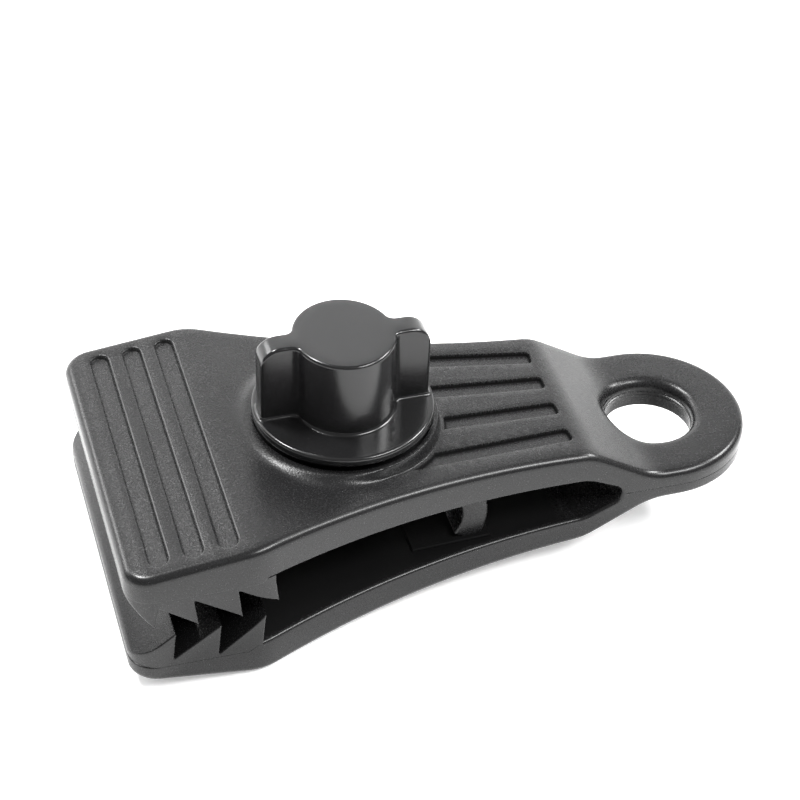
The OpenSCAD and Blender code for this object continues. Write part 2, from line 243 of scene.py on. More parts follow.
@dataclass(frozen=True)
class GrooveSizes:
    """Grip grooves of a plate.

    Attributes:
        half_w: Half the width of a groove.
        front_profile: Wall of a front groove, as (growth of the outline, depth, recess attribute: painted
            shade where positive, smooth wall where negative).
        rear_profile: The same for a rear groove, whose wall and floor take more painted shade.
        front_first: Place of the first front groove.
        front_pitch: Distance between front grooves.
        front_half_l: Half their length.
        front_count: Number of front grooves.
        rear_pitch: Distance between rear grooves at their ends.
        rear_end_x: Place of those ends.
        rear_fan: Angle between neighbours.
        rear_count: Number of rear grooves.
        rear_corner_r: Radius of their corners.
        clear_r: Radius round the screw that they stay out of.
    """

    half_w: float = 1.05
    # third column of each row: painted shade where positive, a smooth wall where negative
    front_profile: tuple = (
        (0.24, 0.0, -0.5), (0.15, 0.02, -0.9), (0.08, 0.07, -1.0), (0.03, 0.15, -0.9), (0.0, 0.36, 0.3),
        (-0.08, 0.45, 0.5), (-0.2, 0.46, 0.2), (-0.5, 0.46, 0.0),
    )
    rear_profile: tuple = (
        (0.14, 0.0, 0.0), (0.07, 0.02, 0.0), (0.02, 0.1, 0.3), (-0.04, 0.38, 1.0), (-0.1, 0.47, 1.0),
        (-0.22, 0.5, 0.5), (-0.5, 0.5, 0.0),
    )
    front_first: float = 4.1
    front_pitch: float = 3.88
    front_half_l: float = 18.6
    front_count: int = 3
    rear_pitch: float = 4.93
    rear_end_x: float = 54.9
    rear_fan: float = math.radians(3.8)
    rear_count: int = 4
    rear_corner_r: float = 0.55
    clear_r: float = 11.9

    def front_places(self) -> list:
        """Where along x the front grooves lie."""
        return [self.front_first + k * self.front_pitch for k in range(self.front_count)]

    def rear_rows(self) -> list:
        """Places of the rear grooves across the clip, in pitches from the middle."""
        return [k - (self.rear_count - 1) / 2 for k in range(self.rear_count)]


@dataclass(frozen=True)
class ToothSizes:
    """Side view of a tooth block.

    Attributes:
        lip_h: Height of the lip at the jaw front.
        teeth: Tips and roots in turn, as (x, height).
        corner_r: Radius of the block's front corners, from above.
        inset: How far its sides lie inside the plate's.
        lip_cut: Reach of the lip's rounding.
        tip_cut: Reach of a tip's rounding.
        root_cut: Reach of a root's rounding.
        edge_r: Radius of the edges at the sides.
        cover: How far the block reaches into the plate.
    """

    lip_h: float
    teeth: tuple
    corner_r: float = 3.35
    inset: float = 0.03
    lip_cut: float = 0.5
    tip_cut: float = 0.14
    root_cut: float = 0.3
    edge_r: float = 0.18
    cover: float = 0.5


@dataclass(frozen=True)
class PadSizes:
    """Low raised pad on the inner face of an arm.

    Attributes:
        start_x: Where it begins.
        end_x: Where it ends.
        half_w: Half its width.
        rise: Its height over the arm's face.
        sink: How deep it reaches into the arm.
        edge: Width of its bevel.
    """

    start_x: float = 34.8
    end_x: float = 44.4
    half_w: float = 11.4
    rise: float = 0.4
    sink: float = 0.3
    edge: float = 0.12


@dataclass(frozen=True)
class WebSizes:
    """Curved spring web between the arms.

    Attributes:
        x: Place of its middle.
        r: Radius of its middle line.
        t: Thickness.
        half_w: Half its width across the clip.
        reach: Height of its ends over the parting plane.
        lap: How deep the ends go into the arms.
        edge_r: Radius of its long edges.
    """

    x: float = 42.55
    r: float = 5.9
    t: float = 3.2
    half_w: float = 10.8
    reach: float = 3.3
    lap: float = 0.25
    edge_r: float = 0.35


@dataclass(frozen=True)
class KnobSizes:
    """Thumb knob: flange, core and wings.

    Attributes:
        flange_r: Radius of the flange.
        flange_z: Height of its underside.
        flange_t: Its thickness.
        flange_edge_r: Radius of its edge.
        core_half_x: Half the oval core's size along x.
        core_half_y: Half its size along y.
        top_z: Height of the top.
        wing_half_t: Half the thickness of a wing.
        wing_r: Reach of the wings.
        wing_corner_r: Radius of a wing's upright edges.
        shoulder_r: Radius of a wing's shoulder.
        fillet: Radius between core and wing.
        edge_r: Radius of the top edge.
        foot_r: Radius between the grip and the flange.
        recess_r: Radius of the recess under the flange.
        recess_z: Height of the recess's face.
        bore_r: Radius of the opening for the screw.
        core_bore_r: Radius of the flange's top inside the grip.
    """

    flange_r: float = 10.6
    flange_z: float = 10.05
    flange_t: float = 1.25
    flange_edge_r: float = 0.4
    core_half_x: float = 5.9
    core_half_y: float = 6.45
    top_z: float = 21.1
    wing_half_t: float = 1.45
    wing_r: float = 10.0
    wing_corner_r: float = 0.4
    shoulder_r: float = 2.5
    fillet: float = 1.0
    edge_r: float = 0.4
    foot_r: float = 0.45
    recess_r: float = 7.8
    recess_z: float = 10.7
    bore_r: float = 2.5
    core_bore_r: float = 2.0


def smooth_step(low: float, high: float, x: Union[float, np.ndarray]) -> np.ndarray:
    """Smooth ramp from 0 at low to 1 at high."""
    t = np.clip((x - low) / (high - low), 0.0, 1.0)
    return t * t * (3.0 - 2.0 * t)


def rim_share(t: np.ndarray, steepest: float = 0.35) -> np.ndarray:
    """How far the boss's rim has dropped: round above, with a long soft foot.

    Args:
        t: Shares of the rim's width, outward.
        steepest: Share at which the rim is steepest.

    Returns:
        Shares of the rim's drop.
    """
    t = np.clip(t, 0.0, 1.0)
    return np.where(t < steepest, t**2 / steepest, 1.0 - (1.0 - t) ** 2 / (1.0 - steepest))


class SoftPolyline:
    """A piecewise straight curve z(x) whose corners are rounded by parabolas.

    Args:
        points: Corners, sorted by x.
        soft: Distance along x on each side of every inner corner that the rounding takes.
    """

    def __init__(self, points: Sequence, soft: Sequence[float]) -> None:
        """Keeps the corners as arrays."""
        self.x, self.z = np.array(points, float).T
        self.soft = np.array(soft, float)

    def __call__(self, x: np.ndarray) -> np.ndarray:
        """Gives the curve's heights.

        Args:
            x: Places along the curve.

        Returns:
            The heights there.
        """
        out = np.interp(x, self.x, self.z)
        slopes = np.diff(self.z) / np.diff(self.x)
        for corner_x, bend, soft in zip(self.x[1:-1], np.diff(slopes), self.soft):
            away = np.abs(x - corner_x)
            out = np.where(away < soft, out + bend * (soft - away) ** 2 / (4 * soft), out)
        return out


class BodyPlan:
    """The moulding's outline seen from above.

    Args:
        sizes: Sizes of the moulding.
    """

    def __init__(self, sizes: BodySizes) -> None:
        """Works out where jaws and hollow sides meet."""
        self.s = sizes
        self.arc_y = sizes.eye_r + sizes.side_r
        rise = self.arc_y - sizes.jaw_half_w
        run = math.sqrt(sizes.side_r**2 - rise**2)
        self.bend_x = sizes.waist_x - run
        self.bend_slope = -run / rise

    def half_width(self, x: Union[float, np.ndarray], front_r: Optional[float] = None) -> np.ndarray:
        """Gives the half width of the outline.

        Args:
            x: Distances from the jaw front.
            front_r: Radius of the front corners, or None for the plate's own.

        Returns:
            The half widths.
        """
        s = self.s
        x = np.asarray(x, float)
        arc = self.arc_y - np.sqrt(np.maximum(s.side_r**2 - (s.waist_x - x) ** 2, 0.0))
        w = np.where(x > self.bend_x, arc, s.jaw_half_w)
        short = s.side_soft - np.abs(x - self.bend_x)
        w = np.where(short > 0, w + self.bend_slope * short**2 / (4 * s.side_soft), w)
        w = np.where(x > s.waist_x, s.eye_r, w)
        past = np.clip(x - s.eye_x, 0.0, s.eye_r)
        w = np.where(x > s.eye_x, np.sqrt(s.eye_r**2 - past**2), w)
        r = s.corner_r if front_r is None else front_r
        ahead = np.clip(r - x, 0.0, r)
        return np.where(x < r, w - (r - np.sqrt(r**2 - ahead**2)), w)

    def side_normal(self, x: float) -> tuple:
        """Gives the outward normal of the near side, from above.

        Args:
            x: Distance from the jaw front.

        Returns:
            The normal as (x, y).
        """
        step = 0.05
        slope = float(self.half_width(x + step) - self.half_width(x - step)) / (2 * step)
        length = math.hypot(slope, 1.0)
        return (-slope / length, -1.0 / length)


@dataclass
class Rim:
    """Columns of a shell's side, in order round the outline.

    Attributes:
        xy: Plan position of each column.
        normal: Outward plan normal.
        top_r: Fillet radius at the upper edge.
        low_z: Height of the inner or lower surface under the column.
        low_n: Normal of that surface in the xz plane.
        low_r: Fillet radius at the lower edge.
        arm: The near side's columns over the arm's inner face.
    """

    xy: np.ndarray
    normal: np.ndarray
    top_r: np.ndarray
    low_z: np.ndarray
    low_n: np.ndarray
    low_r: np.ndarray
    arm: slice


class Draft:
    """Vertices and faces of a piece while it is made."""

    def __init__(self) -> None:
        """Starts empty."""
        self.points: list = []
        self.faces: list = []
        self.shade: list = []

    def add(self, points: Iterable, shade: Union[float, Sequence[float]] = 0.0) -> list:
        """Adds points.

        Args:
            points: Points in space.
            shade: The recess attribute: painted shade from 0 to 1 by how deep in a recess they lie, or
                SMOOTH_SIDE.

        Returns:
            The indices.
        """
        start = len(self.points)
        self.points.extend(tuple(map(float, p)) for p in points)
        count = len(self.points) - start
        self.shade.extend(np.broadcast_to(np.asarray(shade, float), (count,)).tolist())
        return list(range(start, len(self.points)))

    def strip(self, a: Sequence[int], b: Sequence[int], closed: bool = False) -> None:
        """Joins two rows of equal length by quads.

        Args:
            a: A row of points.
            b: The row to its left, seen from outside.
            closed: Whether the rows close on themselves.
        """
        n = len(a)
        for i in range(n if closed else n - 1):
            j = (i + 1) % n
            self.faces.append((a[i], a[j], b[j], b[i]))

    def loft(self, rows: Sequence[Sequence[int]], closed: bool = False) -> None:
        """Joins each row to the next one, which lies to its left seen from outside."""
        for a, b in zip(rows[:-1], rows[1:]):
            self.strip(a, b, closed)

    def take(self, points: Sequence, faces: Sequence, shade: Union[float, Sequence[float]] = 0.0) -> list:
        """Adds points together with the faces between them.

        Args:
            points: Points in space.
            faces: Faces as indices into those points.
            shade: The recess attribute, painted shade where positive.

        Returns:
            The points' indices.
        """
        base = self.add(points, shade)
        self.faces += [tuple(base[i] for i in face) for face in faces]
        return base

    def flip_z(self) -> None:
        """Mirrors everything in the parting plane, with faces still outward."""
        self.points = [(x, y, -z) for x, y, z in self.points]
        self.faces = [face[::-1] for face in self.faces]

    def merge(self, other: "Draft") -> None:
        """Takes in another draft."""
        self.take(other.points, other.faces, other.shade)

    def to_object(
        self, name: str, sizes: BodySizes, weld: float = 0.002, sharp: float = 32.0
    ) -> bpy.types.Object:
        """Makes a Blender object in the CAD frame.

        Args:
            name: Name of the object.
            sizes: Sizes that hold the frame's origin.
            weld: Distance under which points are one, in millimetres.
            sharp: Angle over which an edge is drawn sharp, in degrees.

        Returns:
            The object, at the origin, with smooth faces.
        """
        points = (np.array(self.points) + (-sizes.origin_x, 0.0, sizes.ground)) * MILLIMETRE
        mesh = bpy.data.meshes.new(name)
        mesh.from_pydata(points.tolist(), [], self.faces)
        # the recess attribute carries painted shade (0 to 1) and smooth walls (SMOOTH_SIDE) to the finish
        mesh.attributes.new("recess", "FLOAT", "POINT").data.foreach_set("value", self.shade)
        mesh.validate()
        weld_mesh(mesh, weld * MILLIMETRE)
        mesh.polygons.foreach_set("use_smooth", [True] * len(mesh.polygons))
        mesh.set_sharp_from_angle(angle=math.radians(sharp))
        return linked(name, mesh)


def linked(name: str, data: bpy.types.ID) -> bpy.types.Object:
    """Makes a new object and links it to the scene.

    Args:
        name: Name of the object.
        data: Its mesh, light or camera.

    Returns:
        The object.
    """
    obj = bpy.data.objects.new(name, data)
    bpy.context.scene.collection.objects.link(obj)
    return obj


def weld_mesh(mesh: bpy.types.Mesh, distance: float) -> None:
    """Merges close points and drops faces with no area.

    Args:
        mesh: The mesh, changed in place.
        distance: Distance under which points are one, in metres.
    """
    bm = bmesh.new()
    bm.from_mesh(mesh)
    bmesh.ops.remove_doubles(bm, verts=bm.verts, dist=distance)
    bmesh.ops.dissolve_degenerate(bm, edges=bm.edges, dist=distance * 0.1)
    bm.to_mesh(mesh)
    bm.free()


class Sheet:
    """A surface over the xy plane, triangulated through nested loops of points.

    Args:
        height: Gives the undisturbed surface's height at x, y.
    """

    def __init__(self, height: Callable[[np.ndarray, np.ndarray], np.ndarray]) -> None:
        """Starts empty."""
        self.height = height
        self.xy: list = []
        self.drop: list = []
        self.shade: list = []
        self.edges: list = []

    def loop(
        self, xy: np.ndarray, drop: Union[float, np.ndarray] = 0.0, closed: bool = True,
        shade: Union[float, np.ndarray] = 0.0,
    ) -> list:
        """Adds a row of joined points.

        Args:
            xy: Plan positions.
            drop: Distance below the surface.
            closed: Whether the last point is joined to the first.
            shade: The recess attribute, painted shade where positive.

        Returns:
            The points' indices.
        """
        start, n = len(self.xy), len(xy)
        self.scatter(xy, drop, shade)
        self.edges.extend((start + i, start + (i + 1) % n) for i in range(n if closed else n - 1))
        return list(range(start, start + n))

    def scatter(
        self, xy: np.ndarray, drop: Union[float, np.ndarray] = 0.0, shade: Union[float, np.ndarray] = 0.0
    ) -> None:
        """Adds loose points.

        Args:
            xy: Plan positions.
            drop: Distance below the surface.
            shade: The recess attribute, painted shade where positive.
        """
        self.xy.extend(map(tuple, np.asarray(xy, float)))
        self.drop.extend(np.broadcast_to(drop, (len(xy),)).tolist())
        self.shade.extend(np.broadcast_to(shade, (len(xy),)).tolist())

    def triangles(self, keep: Callable[[np.ndarray], np.ndarray]) -> tuple:
        """Triangulates.

        Args:
            keep: Says which of the given plan points lie on the surface.

        Returns:
            The points in space, the faces, for each input index its output index, and the shades.
        """
        out = delaunay_2d_cdt([Vector(p) for p in self.xy], self.edges, [], 0, 1e-5)
        xy = np.array([tuple(p) for p in out[0]])
        drop, shade = np.zeros(len(xy)), np.zeros(len(xy))
        where = {}
        for i, sources in enumerate(out[3]):
            if sources:
                drop[i], shade[i] = self.drop[sources[0]], self.shade[sources[0]]
            where.update((source, i) for source in sources)
        z = self.height(xy[:, 0], xy[:, 1]) - drop
        faces = [tuple(face) for face in out[2]]
        kept = keep(np.array([xy[list(face)].mean(axis=0) for face in faces]))
        upward = []
        for face in (f for f, k in zip(faces, kept) if k):
            a, b, c = xy[list(face)[:3]]
            turn = (b[0] - a[0]) * (c[1] - a[1]) - (b[1] - a[1]) * (c[0] - a[0])
            upward.append(face if turn > 0 else face[::-1])
        return np.column_stack([xy, z]), upward, where, shade


def circle(cx: float, cy: float, r: float, count: int = 96) -> np.ndarray:
    """Points of a circle, counter-clockwise."""
    a = np.linspace(0, 2 * math.pi, count, endpoint=False)
    return np.column_stack([cx + r * np.cos(a), cy + r * np.sin(a)])


def capsule(half_l: float, half_w: float, count: int = 10, rows: int = 40) -> np.ndarray:
    """Outlines a slot along y with round ends.

    Args:
        half_l: Half its length.
        half_w: Half its width.
        count: Points of a round end.
        rows: Points of a straight side.

    Returns:
        The outline, counter-clockwise, centred on the origin.
    """
    a = np.linspace(0, math.pi, count)
    top = np.column_stack([half_w * np.cos(a), half_l - half_w + half_w * np.sin(a)])
    ys = np.linspace(half_l - half_w, half_w - half_l, rows)[1:-1]
    left = np.column_stack([np.full(len(ys), -half_w), ys])
    return np.vstack([top, left, -top, -left])


def inside_polygon(points: np.ndarray, polygon: np.ndarray) -> np.ndarray:
    """Tells which points lie in a closed polygon.

    Args:
        points: Plan points.
        polygon: Its corners.

    Returns:
        True for each point inside.
    """
    x, y = points[:, 0], points[:, 1]
    result = np.zeros(len(points), bool)
    for (ax, ay), (bx, by) in zip(polygon, np.roll(polygon, -1, axis=0)):
        crosses = (ay > y) != (by > y)
        if crosses.any():
            result ^= crosses & (x < (bx - ax) * (y - ay) / (by - ay) + ax)
    return result


class ArmShell:
    """Half of the moulding: one plate, its arm, and the half of the eye on its side.

    It is drawn above the parting plane; the lower one is mirrored afterwards.

    Args:
        sizes: Sizes of the moulding.
        arm: What is this arm's own.
        boss: Seat round the screw.
        grooves: Grip grooves.
        hole: Outline of the opening through the boss, from above.
    """

    # start of the rounding at the slot's corner, and the share of the way to the slot's end it takes
    CORNER_LEAD, CORNER_SHARE = 0.4, 0.12
    # shares of the way at which columns stand in that rounding, and between it and the slot's end
    CORNER_COLUMNS, END_COLUMNS = (0.15, 0.4, 0.7, 1.0), (0.35, 0.6, 0.85, 1.0)
    # numbers of columns over the inner face's flat, and round the slot's end
    FLAT_COUNT, ROUND_COUNT = 66, 12
    # columns over the slot's curved end, which are joined straight across
    CURVED_COLUMNS = 24
    # numbers of columns along the front, round its corner, along the jaw, beside the eye and round it
    FRONT_COUNT, BEND_COUNT, JAW_COUNT, WAIST_COUNT, EYE_COUNT = 22, 13, 20, 16, 40
    # gap between the jaw's last column and the arm's first
    JAW_GAP = 0.3
    # rows of loose points along the inner face's sides
    SIDE_INSETS = (0.3, 0.6, 0.95)
    # width of the ledge that ends inside the tooth block
    LEDGE_W = 2.2
    # points of a rear groove's corner, of its sides, and of its end towards the screw
    GROOVE_CORNER, GROOVE_SIDE, GROOVE_END = 6, 30, 8
    # distances from the side over which the inner face's painted shade grows from none to full deep in the
    # slot
    PAINTED_SHADE_RANGE = (0.1, 0.9)
    # how much grain the top edge's rounding takes on towards the face
    TOP_GRAIN = 0.4
    # moulding lip in the eye's hole, as (distance inward, height)
    EYE_LIP = ((0.0, 0.42), (0.14, 0.34), (0.14, 0.05), (0.06, 0.0))
    # points of a loop round the boss, and round its recess
    BOSS_COUNT, RECESS_COUNT = 132, 120
    # rows of the boss's rim, as shares of its width
    RIM_ROWS = (0.0, 0.08, 0.16, 0.26, 0.38, 0.5, 0.62, 0.75, 0.88, 1.0)
    # wall of the washer's recess, as (growth, share of the depth, which is also its share of painted shade)
    RECESS_PROFILE = ((0.06, 0.0), (0.0, 0.06), (-0.04, 0.25), (-0.05, 0.75), (-0.12, 0.95), (-0.25, 1.0))
    # loose points on the face: their spacing along and across, and how far they keep off edges and loops
    GRID_X, GRID_Y, GRID_START = 1.5, 0.9, 2.2
    SIDE_CLEAR, EYE_CLEAR, RIM_CLEAR, FLARE_CLEAR, GROOVE_CLEAR = 1.9, 1.5, 0.2, 0.3, 0.35

    def __init__(
        self, sizes: BodySizes, arm: ArmSizes, boss: BossSizes, grooves: GrooveSizes, hole: np.ndarray
    ) -> None:
        """Keeps the sizes and works out plan and side view."""
        self.s = sizes
        self.arm = arm
        self.boss = boss
        self.g = grooves
        self.hole = hole
        self.pocket = arm.hole_floor > sizes.throat_h
        self.plan = BodyPlan(sizes)
        self.outer = SoftPolyline(sizes.outer(arm.tail_h), sizes.outer_soft)

    def height(self, x: np.ndarray, y: np.ndarray) -> np.ndarray:
        """Gives the height of the outer surface, boss included, with no edge or groove.

        Args:
            x: Distances from the jaw front.
            y: Distances from the middle plane.

        Returns:
            The heights.
        """
        rho = np.hypot(x - self.s.screw_x, y)
        width = self.boss.rim_width((x - self.s.screw_x) / np.maximum(rho, 1.0))
        share = rim_share((rho - self.boss.flat_r) / width)
        return self.boss.face_h * (1 - share) + self.outer(x) * share

    def inner_profile(self) -> tuple:
        """Samples the arm's inner surface from throat to slot end.

        Returns:
            Points (x, z) and their outward normals.
        """
        s = self.s
        corner, centre = np.array([s.slot_x, s.slot_h]), np.array([s.slot_end_x, 0.0])
        back = corner - centre
        touch = math.atan2(back[1], back[0]) - math.acos(s.slot_end_r / float(np.hypot(*back)))
        slope = (s.slot_h - s.throat_h) / (s.slot_x - self.arm.throat_x)
        flat_n = np.array([slope, -1.0]) / math.hypot(slope, 1.0)
        down = -np.array([math.cos(touch), math.sin(touch)])
        way = centre - down * s.slot_end_r - corner
        places = np.linspace(self.arm.start_x, s.slot_x - self.CORNER_LEAD, self.FLAT_COUNT)
        points = [(x, s.slot_h + slope * (x - s.slot_x)) for x in places]
        normals = [flat_n] * len(points)
        for t in self.CORNER_COLUMNS:
            normal = flat_n * (1 - t) + down * t
            points.append(tuple(corner - (self.CORNER_LEAD * (1 - t), 0.0) + way * self.CORNER_SHARE * t))
            normals.append(normal / np.hypot(*normal))
        for t in self.END_COLUMNS:
            points.append(tuple(corner + way * t))
            normals.append(down)
        for a in np.linspace(touch, 0.0, self.ROUND_COUNT)[1:]:
            normals.append(-np.array([math.cos(a), math.sin(a)]))
            points.append(tuple(centre - normals[-1] * s.slot_end_r))
        return np.array(points, float), np.array(normals, float)

    def rim(self) -> Rim:
        """Lays out the side's columns, from the middle of the front edge round by the near side.

        Returns:
            The columns.
        """
        s, arm, plan = self.s, self.arm, self.plan
        rows: list = []

        def column(x: float, y: float, normal: tuple, top_r: float, low: tuple) -> None:
            """Adds a column over a lower surface (height, normal in x and z, fillet radius)."""
            rows.append((x, y, *normal, top_r, *low))

        step = (arm.step_h, 0.0, -1.0, s.step_r)
        seam = (0.0, 0.0, -1.0, s.seam_r)
        for y in np.linspace(0.0, s.jaw_half_w - s.corner_r, self.FRONT_COUNT)[:-1]:
            column(0.0, -y, (-1.0, 0.0), arm.front_edge_r, step)
        for a in np.linspace(0.0, QUARTER_TURN, self.BEND_COUNT):
            n = (-math.cos(a), -math.sin(a))
            share = float(smooth_step(0.0, QUARTER_TURN, a))
            top_r = arm.front_edge_r + (s.edge_r - arm.front_edge_r) * share
            column(s.corner_r * (1 + n[0]), s.corner_r * (1 + n[1]) - s.jaw_half_w, n, top_r, step)
        for x in np.linspace(s.corner_r, arm.start_x - self.JAW_GAP, self.JAW_COUNT)[1:-1]:
            column(x, -float(plan.half_width(x)), plan.side_normal(x), s.edge_r, step)
        arm_start = len(rows)
        for (x, z), n in zip(*self.inner_profile()):
            px = x - n[0] * s.inner_r
            column(px, -float(plan.half_width(px)), plan.side_normal(px), s.edge_r, (z, *n, s.inner_r))
        arm_end = len(rows)
        for x in np.linspace(rows[-1][0], s.eye_x, self.WAIST_COUNT)[1:-1]:
            column(x, -s.eye_r, (0.0, -1.0), s.edge_r, seam)
        for a in np.linspace(-QUARTER_TURN, 0.0, self.EYE_COUNT):
            n = (math.cos(a), math.sin(a))
            column(s.eye_x + s.eye_r * n[0], s.eye_r * n[1], n, s.edge_r, seam)
        near = np.array(rows, float)
        data = np.vstack([near, near[-2:0:-1] * (1, -1, 1, -1, 1, 1, 1, 1, 1)])
        return Rim(
            xy=data[:, 0:2], normal=data[:, 2:4], top_r=data[:, 4], low_z=data[:, 5],
            low_n=data[:, 6:8], low_r=data[:, 8], arm=slice(arm_start, arm_end),
        )

    def draft(self) -> Draft:
        """Builds the shell above the parting plane.

        Returns:
            The shell.
        """
        s, rim = self.s, self.rim()
        draft, sheet = Draft(), Sheet(self.height)
        outlines = [rim.xy - rim.normal * (rim.top_r * inset)[:, None] for inset, _ in FILLET_STEPS[1:]]
        rings = [
            sheet.loop(outline, rim.top_r * drop, shade=SMOOTH_SIDE * (1.0 - self.TOP_GRAIN * inset))
            for outline, (inset, drop) in zip(outlines, FILLET_STEPS[1:])
        ]
        self._add_grooves(sheet)
        self._add_boss(sheet)
        flare_w = self.arm.flare_w
        flares = [circle(s.eye_x, 0.0, s.eye_hole_r + flare_w * inset) for inset, _ in FILLET_STEPS[1:]]
        for flare, (_, drop) in zip(flares, FILLET_STEPS[1:]):
            sheet.loop(flare, self.arm.flare_h * drop)
        hole_loop = sheet.loop(self.hole)
        self._add_grid(sheet)

        def keep(m: np.ndarray) -> np.ndarray:
            """On the face: in the outline, out of the eye's hole and the screw's."""
            open_parts = inside_polygon(m, flares[0]) | inside_polygon(m, self.hole)
            return inside_polygon(m, outlines[0]) & ~open_parts

        points, faces, where, shade = sheet.triangles(keep)
        base = draft.take(points, faces, shade)
        heights = self.height(rim.xy[:, 0], rim.xy[:, 1])
        wall_top = draft.add(np.column_stack([rim.xy, heights - rim.top_r]), SMOOTH_SIDE)
        draft.strip(wall_top, [base[where[i]] for i in rings[0]], closed=True)
        self._add_wall(draft, rim, wall_top)
        self._add_hole_walls(draft, [base[where[i]] for i in hole_loop])
        return draft

    def _add_grooves(self, sheet: Sheet) -> None:
        """Adds the loops of all grip grooves.

        Args:
            sheet: The outer face.
        """
        g = self.g
        for x in g.front_places():
            for grow, drop, shade in g.front_profile:
                sheet.loop(capsule(g.front_half_l + grow, g.half_w + grow) + (x, 0.0), drop, shade=shade)
        for row in g.rear_rows():
            for grow, drop, shade in g.rear_profile:
                sheet.loop(self._rear_groove(row, grow), drop, shade=shade)

    def _rear_groove(self, row: float, grow: float) -> np.ndarray:
        """Outlines one rear groove.

        Args:
            row: Its place across the clip, in pitches.
            grow: How far the outline is grown.

        Returns:
            The outline, counter-clockwise.
        """
        g = self.g
        half, r, clear = g.half_w + grow, g.rear_corner_r + grow, g.clear_r - grow
        tilt = -row * g.rear_fan
        end = np.array([g.rear_end_x, row * g.rear_pitch])
        along = np.array([math.cos(tilt), math.sin(tilt)])
        across = np.array([-along[1], along[0]])
        centre = np.array([self.s.screw_x, 0.0])

        def meet(offset: float) -> float:
            """Finds where a line along the groove reaches the circle round the screw.

            Args:
                offset: Distance of the line from the groove's middle.

            Returns:
                Distance back from the groove's end.
            """
            p = end + across * offset - centre
            b = float(p @ along)
            return b - math.sqrt(b * b - float(p @ p) + clear**2)

        def corner(turn: float, side: int) -> np.ndarray:
            """Gives a point of the groove's rounded end.

            Args:
                turn: Angle round the corner.
                side: 1 or -1, for the corner on either side.

            Returns:
                The point.
            """
            out, up = grow - r + r * math.cos(turn), side * (half - r) + r * math.sin(turn)
            return end + along * out + across * up

        far, near = meet(half), meet(-half)
        arc = [end + across * side * half - along * back - centre for side, back in ((1, far), (-1, near))]
        turns = np.linspace(*(math.atan2(p[1], p[0]) for p in arc), self.GROOVE_END)
        return np.array(
            [corner(a, -1) for a in np.linspace(-QUARTER_TURN, 0, self.GROOVE_CORNER)]
            + [corner(a, 1) for a in np.linspace(0, QUARTER_TURN, self.GROOVE_CORNER)]
            + [end - along * t + across * half for t in np.linspace(r, far, self.GROOVE_SIDE)[1:-1]]
            + [centre + clear * np.array([math.cos(a), math.sin(a)]) for a in turns]
            + [end - along * t - across * half for t in np.linspace(near, r, self.GROOVE_SIDE)[1:-1]]
        )

    def _add_boss(self, sheet: Sheet) -> None:
        """Adds the loops of the boss's rim and of the washer's recess, with painted shade growing down into
        the recess.

        Args:
            sheet: The outer face.
        """
        b, x = self.boss, self.s.screw_x
        unit = circle(0.0, 0.0, 1.0, self.BOSS_COUNT)
        for share in self.RIM_ROWS:
            sheet.loop(unit * (b.flat_r + b.rim_width(unit[:, :1]) * share) + (x, 0.0))
        if b.recess_d > 0:
            for grow, share in self.RECESS_PROFILE:
                for r in (b.recess_r + grow, b.seat_r - grow):
                    # painted shade grows with depth in the washer's recess
                    sheet.loop(circle(x, 0.0, r, self.RECESS_COUNT), b.recess_d * share, shade=share)

    def _add_grid(self, sheet: Sheet) -> None:
        """Adds loose points where the face bends and a sparse grid elsewhere, clear of every loop.

        Args:
            sheet: The outer face.
        """
        s = self.s
        xs = [np.arange(self.GRID_START, s.length - self.GRID_X, self.GRID_X)]
        for (bend_x, _), soft in zip(s.outer(self.arm.tail_h)[1:4], s.outer_soft):
            xs.append(np.linspace(bend_x - soft, bend_x + soft, 11))
        points = []
        for x in np.unique(np.round(np.concatenate(xs), 3)):
            w = float(self.plan.half_width(x)) - self.SIDE_CLEAR
            points += [(x, y) for y in np.linspace(-w, w, max(3, int(2 * w / self.GRID_Y)))]
        pts = np.array(points)
        rho = np.hypot(pts[:, 0] - s.screw_x, pts[:, 1])
        keep = rho > self.boss.flat_r + self.boss.rim_width((pts[:, 0] - s.screw_x) / rho) + self.RIM_CLEAR
        eye_d = np.hypot(pts[:, 0] - s.eye_x, pts[:, 1])
        keep &= eye_d > s.eye_hole_r + self.arm.flare_w + self.FLARE_CLEAR
        keep &= (pts[:, 0] <= s.eye_x) | (eye_d <= s.eye_r - self.EYE_CLEAR)
        sheet.scatter(pts[keep & ~self._near_groove(pts)])

    def _near_groove(self, pts: np.ndarray) -> np.ndarray:
        """Tells which points lie in or near a groove.

        Args:
            pts: Plan points.

        Returns:
            True for each such point.
        """
        g, margin = self.g, self.GROOVE_CLEAR
        hit = np.abs(pts[:, 0, None] - g.front_places()).min(axis=1) < g.half_w + margin
        hit &= np.abs(pts[:, 1]) < g.front_half_l + margin
        for row in g.rear_rows():
            hit |= inside_polygon(pts, self._rear_groove(row, margin))
        return hit

